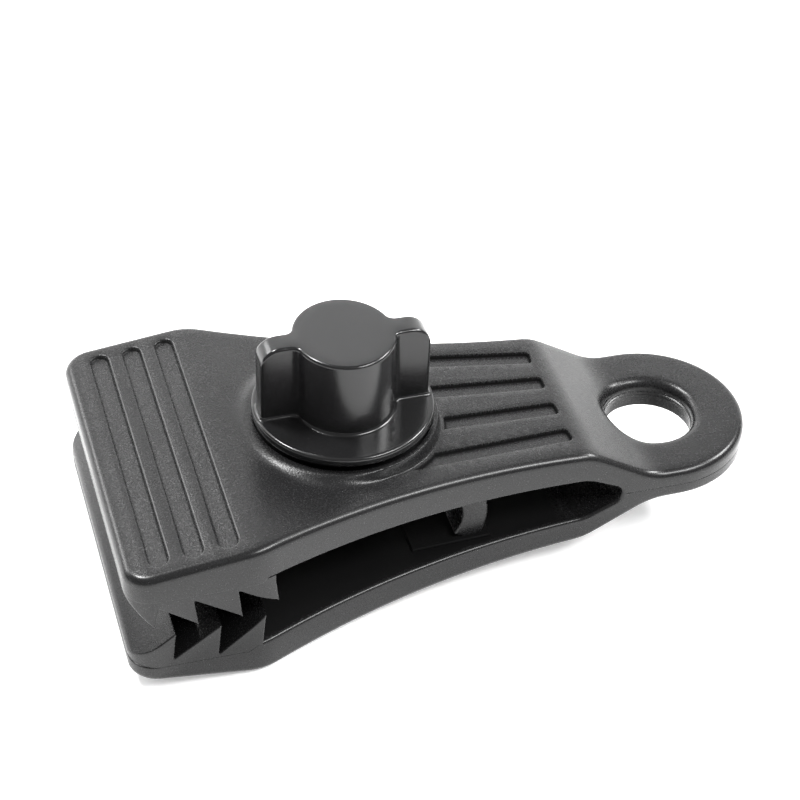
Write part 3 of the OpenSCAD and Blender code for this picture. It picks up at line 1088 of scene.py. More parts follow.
    def _add_wall(self, draft: Draft, rim: Rim, wall_top: list) -> None:
        """Adds the side wall, its lower fillet and the arm's inner surface.

        Args:
            draft: The shell.
            rim: The side's columns.
            wall_top: The wall's upper row.
        """
        levels = [wall_top]
        for inset, drop in FILLET_STEPS:
            x = rim.xy[:, 0] + rim.low_n[:, 0] * rim.low_r * (1 - drop)
            moved = np.abs(x - rim.xy[:, 0]) > 1e-9
            y = np.where(moved, np.sign(rim.xy[:, 1]) * self.plan.half_width(x), rim.xy[:, 1])
            xy = np.column_stack([x, y]) - rim.normal * (rim.low_r * inset)[:, None]
            z = rim.low_z - rim.low_n[:, 1] * rim.low_r * drop
            levels.append(draft.add(np.column_stack([xy, z]), SMOOTH_SIDE))
        draft.loft(levels[::-1], closed=True)
        n = len(rim.xy)
        inward = rim.xy - rim.normal * self.LEDGE_W
        ledge = draft.add(np.column_stack([inward, np.full(n, self.arm.step_h)]))
        order = range(1 - rim.arm.start, rim.arm.start)
        draft.strip([ledge[i] for i in order], [levels[-1][i] for i in order])
        self._add_inner(draft, rim, levels[-1])

    def _add_inner(self, draft: Draft, rim: Rim, level: list) -> None:
        """Adds the arm's inner surface, with the screw's hole in it.

        Args:
            draft: The shell.
            rim: The side's columns.
            level: The lowest row of the side wall.
        """
        s = self.s
        columns = np.arange(rim.arm.start, rim.arm.stop)
        pts = np.array([draft.points[i] for i in level])
        near, far = pts[columns], pts[-columns]
        sheet = Sheet(lambda x, _: np.interp(x, near[:, 0], near[:, 2]))
        across = list(zip(sheet.loop(near[:, :2], closed=False), sheet.loop(far[:, :2], closed=False)))
        sheet.edges += [across[0], *across[-self.CURVED_COLUMNS:]]
        for inset in self.SIDE_INSETS:
            for side, row in ((1, near), (-1, far)):
                sheet.scatter((row[:, :2] + (0.0, side * inset))[:-self.CURVED_COLUMNS])
        hole_r = s.bore_r if self.pocket else float(np.hypot(*(self.hole[0] - (s.screw_x, 0.0))))
        ring = circle(s.screw_x, 0.0, hole_r, len(self.hole))
        ring_ids = sheet.loop(ring)
        outline = np.vstack([near, far[::-1]])[:, :2]
        points, faces, where, _ = sheet.triangles(
            lambda m: inside_polygon(m, outline) & ~inside_polygon(m, ring)
        )
        side = self.plan.half_width(points[:, 0]) - np.abs(points[:, 1])
        # painted shade on the arm's inner face, growing inward from its sides
        base = draft.take(points, [face[::-1] for face in faces], smooth_step(*self.PAINTED_SHADE_RANGE, side))
        if self.pocket:
            lip = draft.add([(x, y, self.arm.hole_floor) for x, y in ring])
            draft.strip(lip, [base[where[i]] for i in ring_ids], closed=True)

    def _add_hole_walls(self, draft: Draft, boss_ring: list) -> None:
        """Adds the walls of the eye's hole and of the opening through the boss.

        Args:
            draft: The shell.
            boss_ring: The opening's edge on the boss.
        """
        s, arm = self.s, self.arm
        inset, drop = FILLET_STEPS[1]
        levels = [
            (s.eye_hole_r + arm.flare_w * inset, s.eye_half_t - arm.flare_h * drop),
            (s.eye_hole_r, s.eye_half_t - arm.flare_h),
            *((s.eye_hole_r - inward, z) for inward, z in self.EYE_LIP),
        ]
        rows = [draft.add([(x, y, z) for x, y in circle(s.eye_x, 0.0, r)]) for r, z in levels]
        draft.loft(rows, closed=True)
        floor = draft.add([(x, y, arm.hole_floor) for x, y in self.hole])
        draft.strip(boss_ring, floor, closed=True)
        if self.pocket:
            bore = circle(s.screw_x, 0.0, s.bore_r, len(self.hole))
            draft.strip(floor, draft.add([(x, y, arm.hole_floor) for x, y in bore]), closed=True)


class ToothBlock:
    """The toothed block under a plate, above the parting plane.

    Args:
        sizes: Sizes of the moulding.
        arm: What is this arm's own.
        teeth: Side view of the teeth.
    """

    # greatest length of an edge along the outline, and how far apart its points lie round the corner
    CELL, CORNER_CELL = 0.45, 0.2
    # loose points on the sides: places behind the last tooth, heights, and distance from the outline
    REAR_PLACES = (15.2, 15.8, 16.2)
    SIDE_HEIGHTS = np.arange(-0.2, 5.8, 0.4)
    SIDE_CLEAR = 0.12
    # points of a rounded corner, as shares of its arc, and angles of the rows of a side's rounded edge
    ARC_SHARES = (0.0, 0.25, 0.5, 0.75, 1.0)
    EDGE_TURNS = np.radians((0.0, 22.5, 45.0, 67.5, 90.0))

    def __init__(self, sizes: BodySizes, arm: ArmSizes, teeth: ToothSizes) -> None:
        """Keeps the sizes."""
        self.arm = arm
        self.t = teeth
        self.plan = BodyPlan(sizes)

    def side_view(self) -> np.ndarray:
        """Draws the block's outline in the xz plane, from the lip along the teeth and back.

        Returns:
            The closed outline, in short steps.
        """
        t, top = self.t, self.arm.step_h + self.t.cover
        corners = np.array([(0.0, t.lip_h), *t.teeth, (t.teeth[-1][0], top), (0.0, top)], float)
        soft = []
        for i, p in enumerate(corners[:-2]):
            cut = t.lip_cut if i == 0 else (t.tip_cut if i % 2 else t.root_cut)
            before, after = corners[i - 1] - p, corners[i + 1] - p
            start, end = p + before / np.hypot(*before) * cut, p + after / np.hypot(*after) * cut
            for u in self.ARC_SHARES:
                soft.append((1 - u) ** 2 * start + 2 * u * (1 - u) * p + u**2 * end)
        soft += list(corners[-2:])
        fine = []
        for a, b in zip(soft, soft[1:] + soft[:1]):
            steps = max(1, int(np.hypot(*(b - a)) / self.CELL))
            if min(a[0], b[0]) < t.corner_r:
                steps = max(steps, int(abs(b[0] - a[0]) / self.CORNER_CELL) + 1)
            fine += [a + (b - a) * k / steps for k in range(steps)]
        return np.array(fine)

    def half_width(self, x: np.ndarray) -> np.ndarray:
        """Half width of the block at x."""
        return self.plan.half_width(x, self.t.corner_r) - self.t.inset

    def draft(self) -> Draft:
        """Builds the block, with small rounded edges between teeth and sides.

        Returns:
            The block.
        """
        outline = self.side_view()
        tangent = np.roll(outline, -1, axis=0) - np.roll(outline, 1, axis=0)
        tangent /= np.hypot(tangent[:, 0], tangent[:, 1])[:, None] + 1e-12
        inward = np.column_stack([-tangent[:, 1], tangent[:, 0]]) * (outline[:, 1] < self.arm.step_h)[:, None]
        draft = Draft()
        rows = {-1: [], 1: []}
        for turn in self.EDGE_TURNS:
            pts = outline + inward * self.t.edge_r * (1.0 - math.cos(turn))
            pts[:, 0] = np.maximum(pts[:, 0], 0.0)
            width = self.half_width(pts[:, 0]) - self.t.edge_r * (1.0 - math.sin(turn))
            for side, made in rows.items():
                made.append(draft.add(np.column_stack([pts[:, 0], side * width, pts[:, 1]]), SMOOTH_SIDE))
        draft.strip(rows[1][0], rows[-1][0], closed=True)
        draft.loft(rows[-1], closed=True)
        draft.loft(rows[1][::-1], closed=True)
        self._add_caps(draft, pts)
        return draft

    def _add_caps(self, draft: Draft, outline: np.ndarray) -> None:
        """Closes both sides of the block, following the round front corners.

        Args:
            draft: The block.
            outline: Edge of a side, in the xz plane.
        """
        sheet = Sheet(lambda x, _: x * 0)
        sheet.loop(outline)
        columns = self.t.corner_r * (1 - np.cos(np.linspace(0.15, QUARTER_TURN, 12)))
        loose = np.array([(x, z) for x in (*columns, *self.REAR_PLACES) for z in self.SIDE_HEIGHTS])
        gaps = loose[:, None] - outline[None]
        clear = np.hypot(gaps[..., 0], gaps[..., 1]).min(axis=1) > self.SIDE_CLEAR
        sheet.scatter(loose[inside_polygon(loose, outline) & clear])
        points, faces, _, _ = sheet.triangles(lambda m: inside_polygon(m, outline))
        width = self.half_width(points[:, 0])
        for side in (-1, 1):
            placed = np.column_stack([points[:, 0], side * width, points[:, 1]])
            draft.take(placed, [face[::-side] for face in faces], SMOOTH_SIDE)


class Pad:
    """The low raised pad along the inside of an arm.

    Args:
        sizes: Sizes of the moulding.
        arm: What is this arm's own.
        pad: The pad's own sizes.
    """

    # painted shade of the pad, which lies deep in the slot
    SHADE = 0.9

    def __init__(self, sizes: BodySizes, arm: ArmSizes, pad: PadSizes) -> None:
        """Keeps the sizes."""
        self.s = sizes
        self.arm = arm
        self.p = pad

    def draft(self) -> Draft:
        """Builds the pad above the parting plane.

        Returns:
            The pad.
        """
        s, p = self.s, self.p
        draft = Draft()
        rows = []
        for inset, rise in ((0.0, -p.sink), (0.0, p.rise - p.edge), (p.edge, p.rise)):
            x0, x1, w = p.start_x + inset, p.end_x - inset, p.half_w - inset
            z0, z1 = np.interp((x0, x1), (self.arm.throat_x, s.slot_x), (s.throat_h, s.slot_h)) - rise
            rows.append(draft.add([(x0, -w, z0), (x1, -w, z1), (x1, w, z1), (x0, w, z0)], self.SHADE))
        draft.loft(rows[::-1], closed=True)
        draft.faces.append(tuple(rows[2][::-1]))
        return draft


class SpringWeb:
    """The curved rib between the arms.

    Args:
        web: Sizes of the web.
    """

    # how far the arc is drawn past the arms' faces before its ends are cut level
    OVERRUN = 1.25
    # points of a rounded edge, and rows along the arc
    EDGE_COUNT, ARC_COUNT = 5, 25

    def __init__(self, web: WebSizes) -> None:
        """Keeps the sizes."""
        self.w = web

    def draft(self) -> Draft:
        """Builds the web.

        Returns:
            The web.
        """
        w = self.w
        half_t, half_w = w.t / 2 - w.edge_r, w.half_w - w.edge_r
        section = []
        for side_x, side_y, start in ((1, -1, -90), (1, 1, 0), (-1, 1, 90), (-1, -1, 180)):
            for a in np.radians(np.linspace(start, start + 90, self.EDGE_COUNT)):
                u, v = w.edge_r * math.cos(a), w.edge_r * math.sin(a)
                section.append((side_x * half_t + u, side_y * half_w + v))
        draft = Draft()
        span = math.asin((w.reach + w.edge_r) / (w.r + w.t / 2)) * self.OVERRUN
        limit = w.reach + w.lap
        rows = []
        for a in np.linspace(-span, span, self.ARC_COUNT):
            ring = [(w.x - w.r + (w.r + u) * math.cos(a), v, (w.r + u) * math.sin(a)) for u, v in section]
            rows.append(draft.add([(x, y, max(-limit, min(limit, z))) for x, y, z in ring]))
        draft.loft(rows, closed=True)
        draft.faces += [tuple(rows[0][::-1]), tuple(rows[-1])]
        return draft


class Knob:
    """Thumb knob, drawn round its own axis.

    Args:
        knob: Sizes of the knob.
        screw_x: Place of its axis.
    """

    # loose points on the top: places along a wing, rows across it, and grid over the core
    WING_PLACES = (*np.linspace(7.4, 8.8, 8), *np.linspace(8.95, 9.4, 5))
    WING_ROWS = (-0.8, -0.4, 0.0, 0.4, 0.8)
    CORE_PLACES = (np.arange(-6.5, 6.6, 1.0), np.arange(-5.0, 5.1, 1.0))
    CORE_R, WING_HALF = 5.3, 0.9
    # points of a wing's end, its corner, its side, the fillet and the core's side
    END_COUNT, CORNER_COUNT, WING_COUNT, FILLET_COUNT, CORE_COUNT = 4, 6, 10, 9, 22
    # where the shoulders' rounding stops short of upright, and where a wing's corner starts, in degrees
    SHOULDER_LIMIT, CORNER_START = 0.985, 10
    # how deep the grip's foot reaches into the flange
    FOOT_SINK = 0.1
    # points of the flange's circles, and of its upper and lower edge
    FLANGE_COUNT, UPPER_COUNT, LOWER_COUNT = 144, 7, 5
    # distance of the flange's rows of points from recess and edge
    FLANGE_MARGIN = 0.2
    # rows of the rounding at the grip's foot, as shares of a quarter turn
    FOOT_ROWS = (0.0, 0.13, 0.3, 0.5, 0.7, 0.87, 1.0)

    def __init__(self, knob: KnobSizes, screw_x: float) -> None:
        """Keeps the sizes."""
        self.k = knob
        self.screw_x = screw_x

    def _core_point(self, t: float) -> tuple:
        """Gives a point of the oval core's outline.

        Args:
            t: Parameter of the oval, 0 towards the wing.

        Returns:
            The point and its outward normal.
        """
        k = self.k
        point = np.array([k.core_half_x * math.cos(t), k.core_half_y * math.sin(t)])
        normal = np.array([math.cos(t) / k.core_half_x, math.sin(t) / k.core_half_y])
        return point, normal / np.hypot(*normal)

    def _fillet_touch(self) -> tuple:
        """Finds where the fillet between core and wing touches the core.

        Returns:
            The core's parameter there, and the fillet's centre along x.
        """
        k = self.k
        low, high = 0.0, QUARTER_TURN
        for _ in range(40):
            middle = (low + high) / 2
            point, normal = self._core_point(middle)
            if (point + normal * k.fillet)[1] < k.wing_half_t + k.fillet:
                low = middle
            else:
                high = middle
        point, normal = self._core_point(low)
        return low, float((point + normal * k.fillet)[0])

    def _quadrant(self) -> tuple:
        """Draws a quarter of the grip's outline, from a wing's end to the core's side.

        Returns:
            The points and their outward normals.
        """
        k = self.k
        touch, fillet_x = self._fillet_touch()
        rows = []

        def arc(x: float, y: float, r: float, turns: Iterable, sign: float = 1.0) -> None:
            """Adds an arc.

            Args:
                x: Its centre along the wing.
                y: Its centre across the wing.
                r: Radius.
                turns: Angles of its points.
                sign: 1 for a round arc, -1 for a hollow one.
            """
            for a in turns:
                c, s = math.cos(a), math.sin(a)
                rows.append((x + r * c, y + r * s, sign * c, sign * s))

        corner_r = k.wing_corner_r
        end = math.asin((k.wing_half_t - corner_r) / k.wing_r)
        arc(0.0, 0.0, k.wing_r, np.linspace(0.0, end, self.END_COUNT))
        corner_x = k.wing_r * math.cos(end) - corner_r
        turns = np.radians(np.linspace(self.CORNER_START, 90, self.CORNER_COUNT))
        arc(corner_x, k.wing_half_t - corner_r, corner_r, turns)
        side = np.linspace(corner_x, fillet_x, self.WING_COUNT)[1:]
        rows += [(x, k.wing_half_t, 0.0, 1.0) for x in side]
        normal = self._core_point(touch)[1]
        touch_turn = math.atan2(normal[1], normal[0]) - math.pi
        turns = np.linspace(-QUARTER_TURN, touch_turn, self.FILLET_COUNT)[1:]
        arc(fillet_x, k.wing_half_t + k.fillet, k.fillet, turns, -1.0)
        core = np.linspace(touch, QUARTER_TURN, self.CORE_COUNT)[1:]
        rows += [np.concatenate(self._core_point(t)) for t in core]
        data = np.array([tuple(row) for row in rows])
        return data[:, :2], data[:, 2:]

    def grip_outline(self) -> tuple:
        """Outlines core and wings from above.

        Returns:
            The points, counter-clockwise, and their outward normals.
        """
        return tuple(
            np.vstack([q, q[::-1][1:] * (-1, 1), -q[1:], q[::-1][1:-1] * (1, -1)]) for q in self._quadrant()
        )

    def top(self, x: np.ndarray, _: np.ndarray) -> np.ndarray:
        """Gives the height of the grip's top, with the wings' rounded shoulders.

        Args:
            x: Distances from the knob's axis along the wings.
            _: Distances across them, which make no difference.

        Returns:
            The heights.
        """
        k = self.k
        share = (np.abs(x) - k.wing_r + k.shoulder_r) / k.shoulder_r
        share = np.clip(share, 0.0, self.SHOULDER_LIMIT)
        return k.top_z - k.shoulder_r * (1.0 - np.sqrt(1.0 - share**2))

    def draft(self) -> Draft:
        """Builds the knob.

        Returns:
            Grip and flange, on the screw's axis.
        """
        draft = self._grip()
        draft.merge(self._flange())
        draft.points = [(x + self.screw_x, y, z) for x, y, z in draft.points]
        return draft

    def _grip(self) -> Draft:
        """Builds core and wings above the flange.

        Returns:
            The grip.
        """
        k = self.k
        draft, sheet = Draft(), Sheet(self.top)
        outline, normals = self.grip_outline()
        edges = [outline - normals * (k.edge_r * inset) for inset, _ in FILLET_STEPS[1:]]
        rings = [sheet.loop(edge, k.edge_r * drop) for edge, (_, drop) in zip(edges, FILLET_STEPS[1:])]
        grid = [(side * x, y) for x in self.WING_PLACES for y in self.WING_ROWS for side in (-1, 1)]
        xs, ys = self.CORE_PLACES
        grid += [(x, y) for x in xs for y in ys if math.hypot(x, y) < self.CORE_R or abs(y) < self.WING_HALF]
        sheet.scatter(np.array(grid))
        points, faces, where, _ = sheet.triangles(lambda m: inside_polygon(m, edges[0]))
        base = draft.take(points, faces)
        foot = k.flange_z + k.flange_t
        levels = [(0.0, self.top(outline[:, 0], outline[:, 1]) - k.edge_r)]
        for turn in (share * QUARTER_TURN for share in self.FOOT_ROWS):
            levels.append((k.foot_r * (1 - math.cos(turn)), foot + k.foot_r * (1 - math.sin(turn))))
        levels.append((k.foot_r, foot - self.FOOT_SINK))
        rows = [[base[where[i]] for i in rings[0]]]
        for out, z in levels:
            heights = np.broadcast_to(z, (len(outline),))
            rows.append(draft.add(np.column_stack([outline + normals * out, heights])))
        draft.loft(rows[::-1], closed=True)
        return draft

    def _flange(self) -> Draft:
        """Builds the round flange, with the washer's recess under it.

        Returns:
            The flange.
        """
        k = self.k
        low, high, edge = k.flange_z, k.flange_z + k.flange_t, k.flange_edge_r
        r = k.flange_r - edge
        inner, outer = k.recess_r + self.FLANGE_MARGIN, r - self.FLANGE_MARGIN
        profile = [(p, high) for p in (k.core_bore_r, k.core_half_x - edge, inner, outer)]
        for a in np.linspace(0, QUARTER_TURN, self.UPPER_COUNT):
            profile.append((r + edge * math.sin(a), high - edge + edge * math.cos(a)))
        for a in np.linspace(0, QUARTER_TURN, self.LOWER_COUNT):
            profile.append((r + edge * math.cos(a), low + edge - edge * math.sin(a)))
        profile += [(k.recess_r, low), (k.recess_r, k.recess_z), (k.bore_r, k.recess_z)]
        draft = Draft()
        rows = []
        for radius, z in profile:
            rows.append(draft.add([(x, y, z) for x, y in circle(0.0, 0.0, radius, self.FLANGE_COUNT)]))
        draft.loft(rows[::-1], closed=True)
        return draft


Operand = Union["Wire", float]


class Wire:
    """A value in a node graph that can be used in plain arithmetic.

    Args:
        graph: The graph it belongs to.
        socket: The output that carries it.
    """

    def __init__(self, graph: "Graph", socket: bpy.types.NodeSocket) -> None:
        """Ties the socket to its graph."""
        self.graph = graph
        self.socket = socket

    def _math(self, kind: str, other: Operand) -> "Wire":
        """One math node on this value and another."""
        return self.graph.node("ShaderNodeMath", {0: self, 1: other}, operation=kind)

    def __add__(self, other: Operand) -> "Wire":
        """Sum."""
        return self._math("ADD", other)

    def __sub__(self, other: Operand) -> "Wire":
        """Difference."""
        return self._math("SUBTRACT", other)

    def __mul__(self, other: Operand) -> "Wire":
        """Product."""
        return self._math("MULTIPLY", other)

    def __truediv__(self, other: Operand) -> "Wire":
        """Quotient."""
        return self._math("DIVIDE", other)

    __radd__ = __add__


class Graph:
    """A node tree, built up call by call.

    Args:
        tree: The tree, which is emptied first.
    """

    def __init__(self, tree: bpy.types.NodeTree) -> None:
        """Takes over the tree and empties it."""
        self.tree = tree
        tree.nodes.clear()

    def add(self, kind: str, inputs: Optional[dict] = None, **settings: object) -> bpy.types.Node:
        """Adds any node.

        Args:
            kind: Node type.
            inputs: Values, wires or lists of wires by socket index or name.
            **settings: Properties of the node.

        Returns:
            The node.
        """
        made = self.tree.nodes.new(kind)
        for key, value in settings.items():
            setattr(made, key, value)
        for key, value in (inputs or {}).items():
            wires = value if isinstance(value, list) else [value]
            if isinstance(wires[0], Wire):
                for wire in wires:
                    self.tree.links.new(wire.socket, made.inputs[key])
            else:
                made.inputs[key].default_value = value
        return made

    def node(
        self, kind: str, inputs: Optional[dict] = None, output: Union[int, str] = 0, **settings: object
    ) -> Wire:
        """Adds any node and gives one of its outputs.

        Args:
            kind: Node type.
            inputs: Values, wires or lists of wires by socket index or name.
            output: Which output to hand back.
            **settings: Properties of the node.

        Returns:
            The chosen output.
        """
        return Wire(self, self.add(kind, inputs, **settings).outputs[output])


class MaterialGraph(Graph):
    """A material's node tree.

    Args:
        name: Name of the material.
    """

    def __init__(self, name: str) -> None:
        """Makes the material with an empty tree."""
        self.material = bpy.data.materials.new(name)
        self.material.use_nodes = True
        super().__init__(self.material.node_tree)

    def ramp(self, value: Wire, low: float, high: float, to_low: float = 0.0, to_high: float = 1.0) -> Wire:
        """Adds a smooth ramp.

        Args:
            value: What runs through the ramp.
            low: Where the ramp starts.
            high: Where it ends.
            to_low: Result at and below its start.
            to_high: Result at and past its end.

        Returns:
            The result.
        """
        return self.node(
            "ShaderNodeMapRange",
            {"Value": value, "From Min": low, "From Max": high, "To Min": to_low, "To Max": to_high},
            interpolation_type="SMOOTHSTEP",
        )

    def noise(self, scale: float, detail: float, roughness: float) -> Wire:
        """Noise on the object's own coordinates, 0 to 1."""
        inputs = {"Vector": self.place(), "Scale": scale, "Detail": detail, "Roughness": roughness}
        return self.node("ShaderNodeTexNoise", inputs)

    def place(self) -> Wire:
        """The object's own coordinates."""
        return self.node("ShaderNodeTexCoord", output="Object")

    def tinted(self, colour: tuple, shade: Wire) -> Wire:
        """A colour times a varying shade."""
        return self.node("ShaderNodeCombineColor", {i: shade * c for i, c in enumerate(colour)})

    def surface(self, **inputs: object) -> Wire:
        """A Principled surface; its inputs are named with underscores for spaces."""
        return self.node("ShaderNodeBsdfPrincipled", {key.replace("_", " "): v for key, v in inputs.items()})

    def finished(self, shader: Wire) -> bpy.types.Material:
        """The material, with its graph ended by the given shader."""
        self.add("ShaderNodeOutputMaterial", {"Surface": shader})
        return self.material


@dataclass(frozen=True)
class MouldedPlastic:
    """Satin moulded plastic with spark-eroded grain, painted glints on single grains, and painted shade deep
    in recesses.

    Attributes:
        name: Material name.
        colour: Base colour, linear.
        rough: Mean roughness.
        specular: Strength of the reflection.
        grain: Height of the grain, in metres.
        painted_glint: How much lighter single grains are painted, as glints.
        grained_x: Where along x the grain fades from full to partial, in metres, or None.
        grain_left: How much of it is left past there.
        grain_scale: Grains per metre.
        painted_glint_range: Span of the grain's noise over which a grain turns light as a painted glint.
        cloud_scale: Clouds per metre, in the broad change of tone and roughness.
        mottling: Change of roughness over a cloud.
        clouding: Change of tone over a cloud.
        grain_rough: Change of roughness over a grain.
        ior: Index of refraction.
        painted_shade_tone: Darkest tone of the painted shade in a recess, as a share of the colour.
        deep_fleck: How much lighter single grains are within that painted shade.
        deep_rough: Roughness of the painted-shade surface in a recess.
        deep_specular: Strength of the reflection in a recess, dimmed as painted shade.
    """

    name: str
    colour: tuple
    rough: float
    specular: float
    grain: float
    painted_glint: float
    grained_x: Optional[tuple] = None
    grain_left: float = 0.4
    grain_scale: float = 4400.0
    painted_glint_range: tuple = (0.55, 0.69)
    cloud_scale: float = 110.0
    mottling: float = 0.08
    clouding: float = 0.25
    grain_rough: float = 0.15
    ior: float = 1.5
    painted_shade_tone: float = 0.3
    deep_fleck: float = 0.2
    deep_rough: float = 0.8
    deep_specular: float = 0.1

    def build(self) -> bpy.types.Material:
        """Makes the material.

        Returns:
            The material.
        """
        g = MaterialGraph(self.name)
        fine = g.noise(self.grain_scale, detail=2.0, roughness=0.7)
        cloud = g.noise(self.cloud_scale, detail=3.0, roughness=0.55) - 0.5
        # the recess attribute: painted shade from 0 to 1, smooth walls at SMOOTH_SIDE
        recess = g.node("ShaderNodeAttribute", output="Fac", attribute_name="recess")
        share = g.ramp(recess, SMOOTH_SIDE, 0.0)
        if self.grained_x:
            x = g.node("ShaderNodeSeparateXYZ", {0: g.place()}, output="X")
            share = share * g.ramp(x, *self.grained_x, 1.0, self.grain_left)
        # painted glints: grains past a noise threshold are made lighter, standing in for light glinting off
        # the grain
        fleck = g.ramp(fine, *self.painted_glint_range) * share
        bump = g.node("ShaderNodeBump", {"Strength": 1.0, "Distance": self.grain, "Height": fine * share})
        open_face = g.surface(
            Base_Color=g.tinted(self.colour, 1.0 + fleck * self.painted_glint + cloud * self.clouding),
            Roughness=self.rough + cloud * self.mottling + (fine - 0.5) * self.grain_rough,
            Normal=bump, IOR=self.ior, Specular_IOR_Level=self.specular,
        )
        # painted shade: a darker, duller surface stands in for the shade deep in recesses and in the slot
        painted_shade_face = g.surface(
            Base_Color=g.tinted(self.colour, self.painted_shade_tone + fine * self.deep_fleck),
            Roughness=self.deep_rough, IOR=self.ior, Specular_IOR_Level=self.deep_specular,
        )
        # how much of that painted shade is mixed in, from the recess attribute
        depth = g.ramp(recess, 0.0, 1.0)
        return g.finished(g.node("ShaderNodeMixShader", {0: depth, 1: open_face, 2: painted_shade_face}))


@dataclass(frozen=True)
class ZincSteel:
    """Zinc-plated steel with faint cloudy variation.

    Attributes:
        name: Material name.
        colour: Base colour, linear.
        cloud_scale: Clouds per metre.
        rough: Least roughness.
        mottling: Change of roughness over a cloud.
        dark: Darkest tone, as a share of the colour.
        clouding: Change of tone over a cloud.
    """

    name: str = "zinc_steel_finish"
    colour: tuple = (0.55, 0.56, 0.58)
    cloud_scale: float = 420.0
    rough: float = 0.28
    mottling: float = 0.16
    dark: float = 0.85
    clouding: float = 0.3

    def build(self) -> bpy.types.Material:
        """Makes the material.

        Returns:
            The material.
        """
        g = MaterialGraph(self.name)
        cloud = g.noise(self.cloud_scale, detail=3.0, roughness=0.6)
        return g.finished(g.surface(
            Base_Color=g.tinted(self.colour, self.dark + cloud * self.clouding),
            Roughness=self.rough + cloud * self.mottling, Metallic=1.0,
        ))


@dataclass(frozen=True)
class PlainMatte:
    """An even, matte finish for floor and backdrop.

    Attributes:
        name: Material name.
        tone: Grey of the surface.
        glow: Strength of its own light.
        rough: Roughness.
    """

    name: str
    tone: float
    glow: float
    rough: float = 0.9

    def build(self) -> bpy.types.Material:
        """Makes the material."""
        g = MaterialGraph(self.name)
        return g.finished(g.surface(
            Base_Color=(self.tone, self.tone, self.tone, 1.0), Roughness=self.rough,
            Emission_Color=(1.0, 1.0, 1.0, 1.0), Emission_Strength=self.glow,
        ))


class Moulding:
    """The one-piece moulding: two shells with tooth blocks and pads, and the web.

    Args:
        sizes: Sizes of the moulding.
    """

    UPPER_ARM = ArmSizes(
        tail_h=6.85, front_edge_r=1.0, hole_floor=4.0, step_h=4.4, throat_x=16.51, flare_w=1.2, flare_h=1.25,
    )
    LOWER_ARM = ArmSizes(
        tail_h=6.4, front_edge_r=0.7, hole_floor=5.1, step_h=5.55, throat_x=14.9, flare_w=0.5, flare_h=0.5,
    )
    UPPER_BOSS = BossSizes(face_h=9.6, recess_d=0.7)
    LOWER_BOSS = BossSizes(face_h=9.45)
    UPPER_TEETH = ToothSizes(
        lip_h=4.2,
        teeth=(
            (2.75, 0.55), (3.3, 3.45), (7.68, 0.05), (7.28, 3.75),
            (12.61, 0.05), (12.21, 4.05), (16.91, 0.8), (16.51, 4.75),
        ),
    )
    LOWER_TEETH = ToothSizes(
        lip_h=4.6,
        teeth=((5.1, 0.85), (4.7, 4.75), (10.2, 0.73), (9.8, 5.25), (15.3, 0.61), (14.9, 4.75)),
    )
    # radius of the screw's opening in the upper arm, and half the width of the nut's pocket in the lower
    SCREW_HOLE_R, POCKET_HALF_W = 3.2, 4.1
    # points of the screw's opening, and of each side of the pocket
    HOLE_COUNT, POCKET_STEPS = 48, 8
    # places between which the upper arm would bend, and that bend's height over the parting plane; dress
    # works out points from them but does not use them
    BEND_START_X, BEND_END_X, BEND_H = 61.0, 54.1, 4.16
    # place of the web, and half the height over which it would be pulled along; dress works out points from
    # them but does not use them
    WEB_X, WEB_HALF_H = 42.75, 3.2

    def __init__(self, sizes: BodySizes) -> None:
        """Keeps the sizes."""
        self.s = sizes

    def build(self) -> dict:
        """Builds the moulding's pieces.

        Returns:
            The objects by name.
        """
        s = self.s
        screw_hole = circle(s.screw_x, 0.0, self.SCREW_HOLE_R, self.HOLE_COUNT)
        corners = circle(s.screw_x, 0.0, self.POCKET_HALF_W / math.cos(math.radians(30)), 6)
        pocket = np.array([
            a + (b - a) * k / self.POCKET_STEPS
            for a, b in zip(corners, np.roll(corners, -1, axis=0)) for k in range(self.POCKET_STEPS)
        ])
        upper = self._half(self.UPPER_ARM, self.UPPER_BOSS, self.UPPER_TEETH, screw_hole)
        lower = self._half(self.LOWER_ARM, self.LOWER_BOSS, self.LOWER_TEETH, pocket)
        lower.flip_z()
        drafts = {"upper_shell": upper, "lower_shell": lower, "web": SpringWeb(WebSizes()).draft()}
        return {name: draft.to_object(name, s) for name, draft in drafts.items()}

    def _half(self, arm: ArmSizes, boss: BossSizes, teeth: ToothSizes, hole: np.ndarray) -> Draft:
        """Builds one shell with its tooth block and pad, above the parting plane.

        Args:
            arm: What is this arm's own.
            boss: Its seat round the screw.
            teeth: Side view of its teeth.
            hole: Outline of the opening through the boss.

        Returns:
            The shell.
        """
        shell = ArmShell(self.s, arm, boss, GrooveSizes(), hole).draft()
        shell.merge(ToothBlock(self.s, arm, teeth).draft())
        shell.merge(Pad(self.s, self.UPPER_ARM, PadSizes()).draft())
        return shell

    def dress(self, pieces: dict, material: bpy.types.Material) -> None:
        """Gives the pieces their finish, ties the lower shell to the CAD body, and hides the CAD nodes the
        pieces replace.

        Args:
            pieces: The objects by name.
            material: Their finish.
        """
        for obj in pieces.values():
            obj.data.materials.append(material)
        start, end = (self.s.in_cad(x, self.BEND_H) for x in (self.BEND_START_X, self.BEND_END_X))
        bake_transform(pieces["upper_shell"])
        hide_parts("upper_jaw")
        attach(pieces["lower_shell"], Body.ROOT.value)
        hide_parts("lower_jaw", "lashing_eye")
        low, high = (self.s.in_cad(self.WEB_X, z) for z in (-self.WEB_HALF_H, self.WEB_HALF_H))
        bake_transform(pieces["web"])
        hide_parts("spring_web")


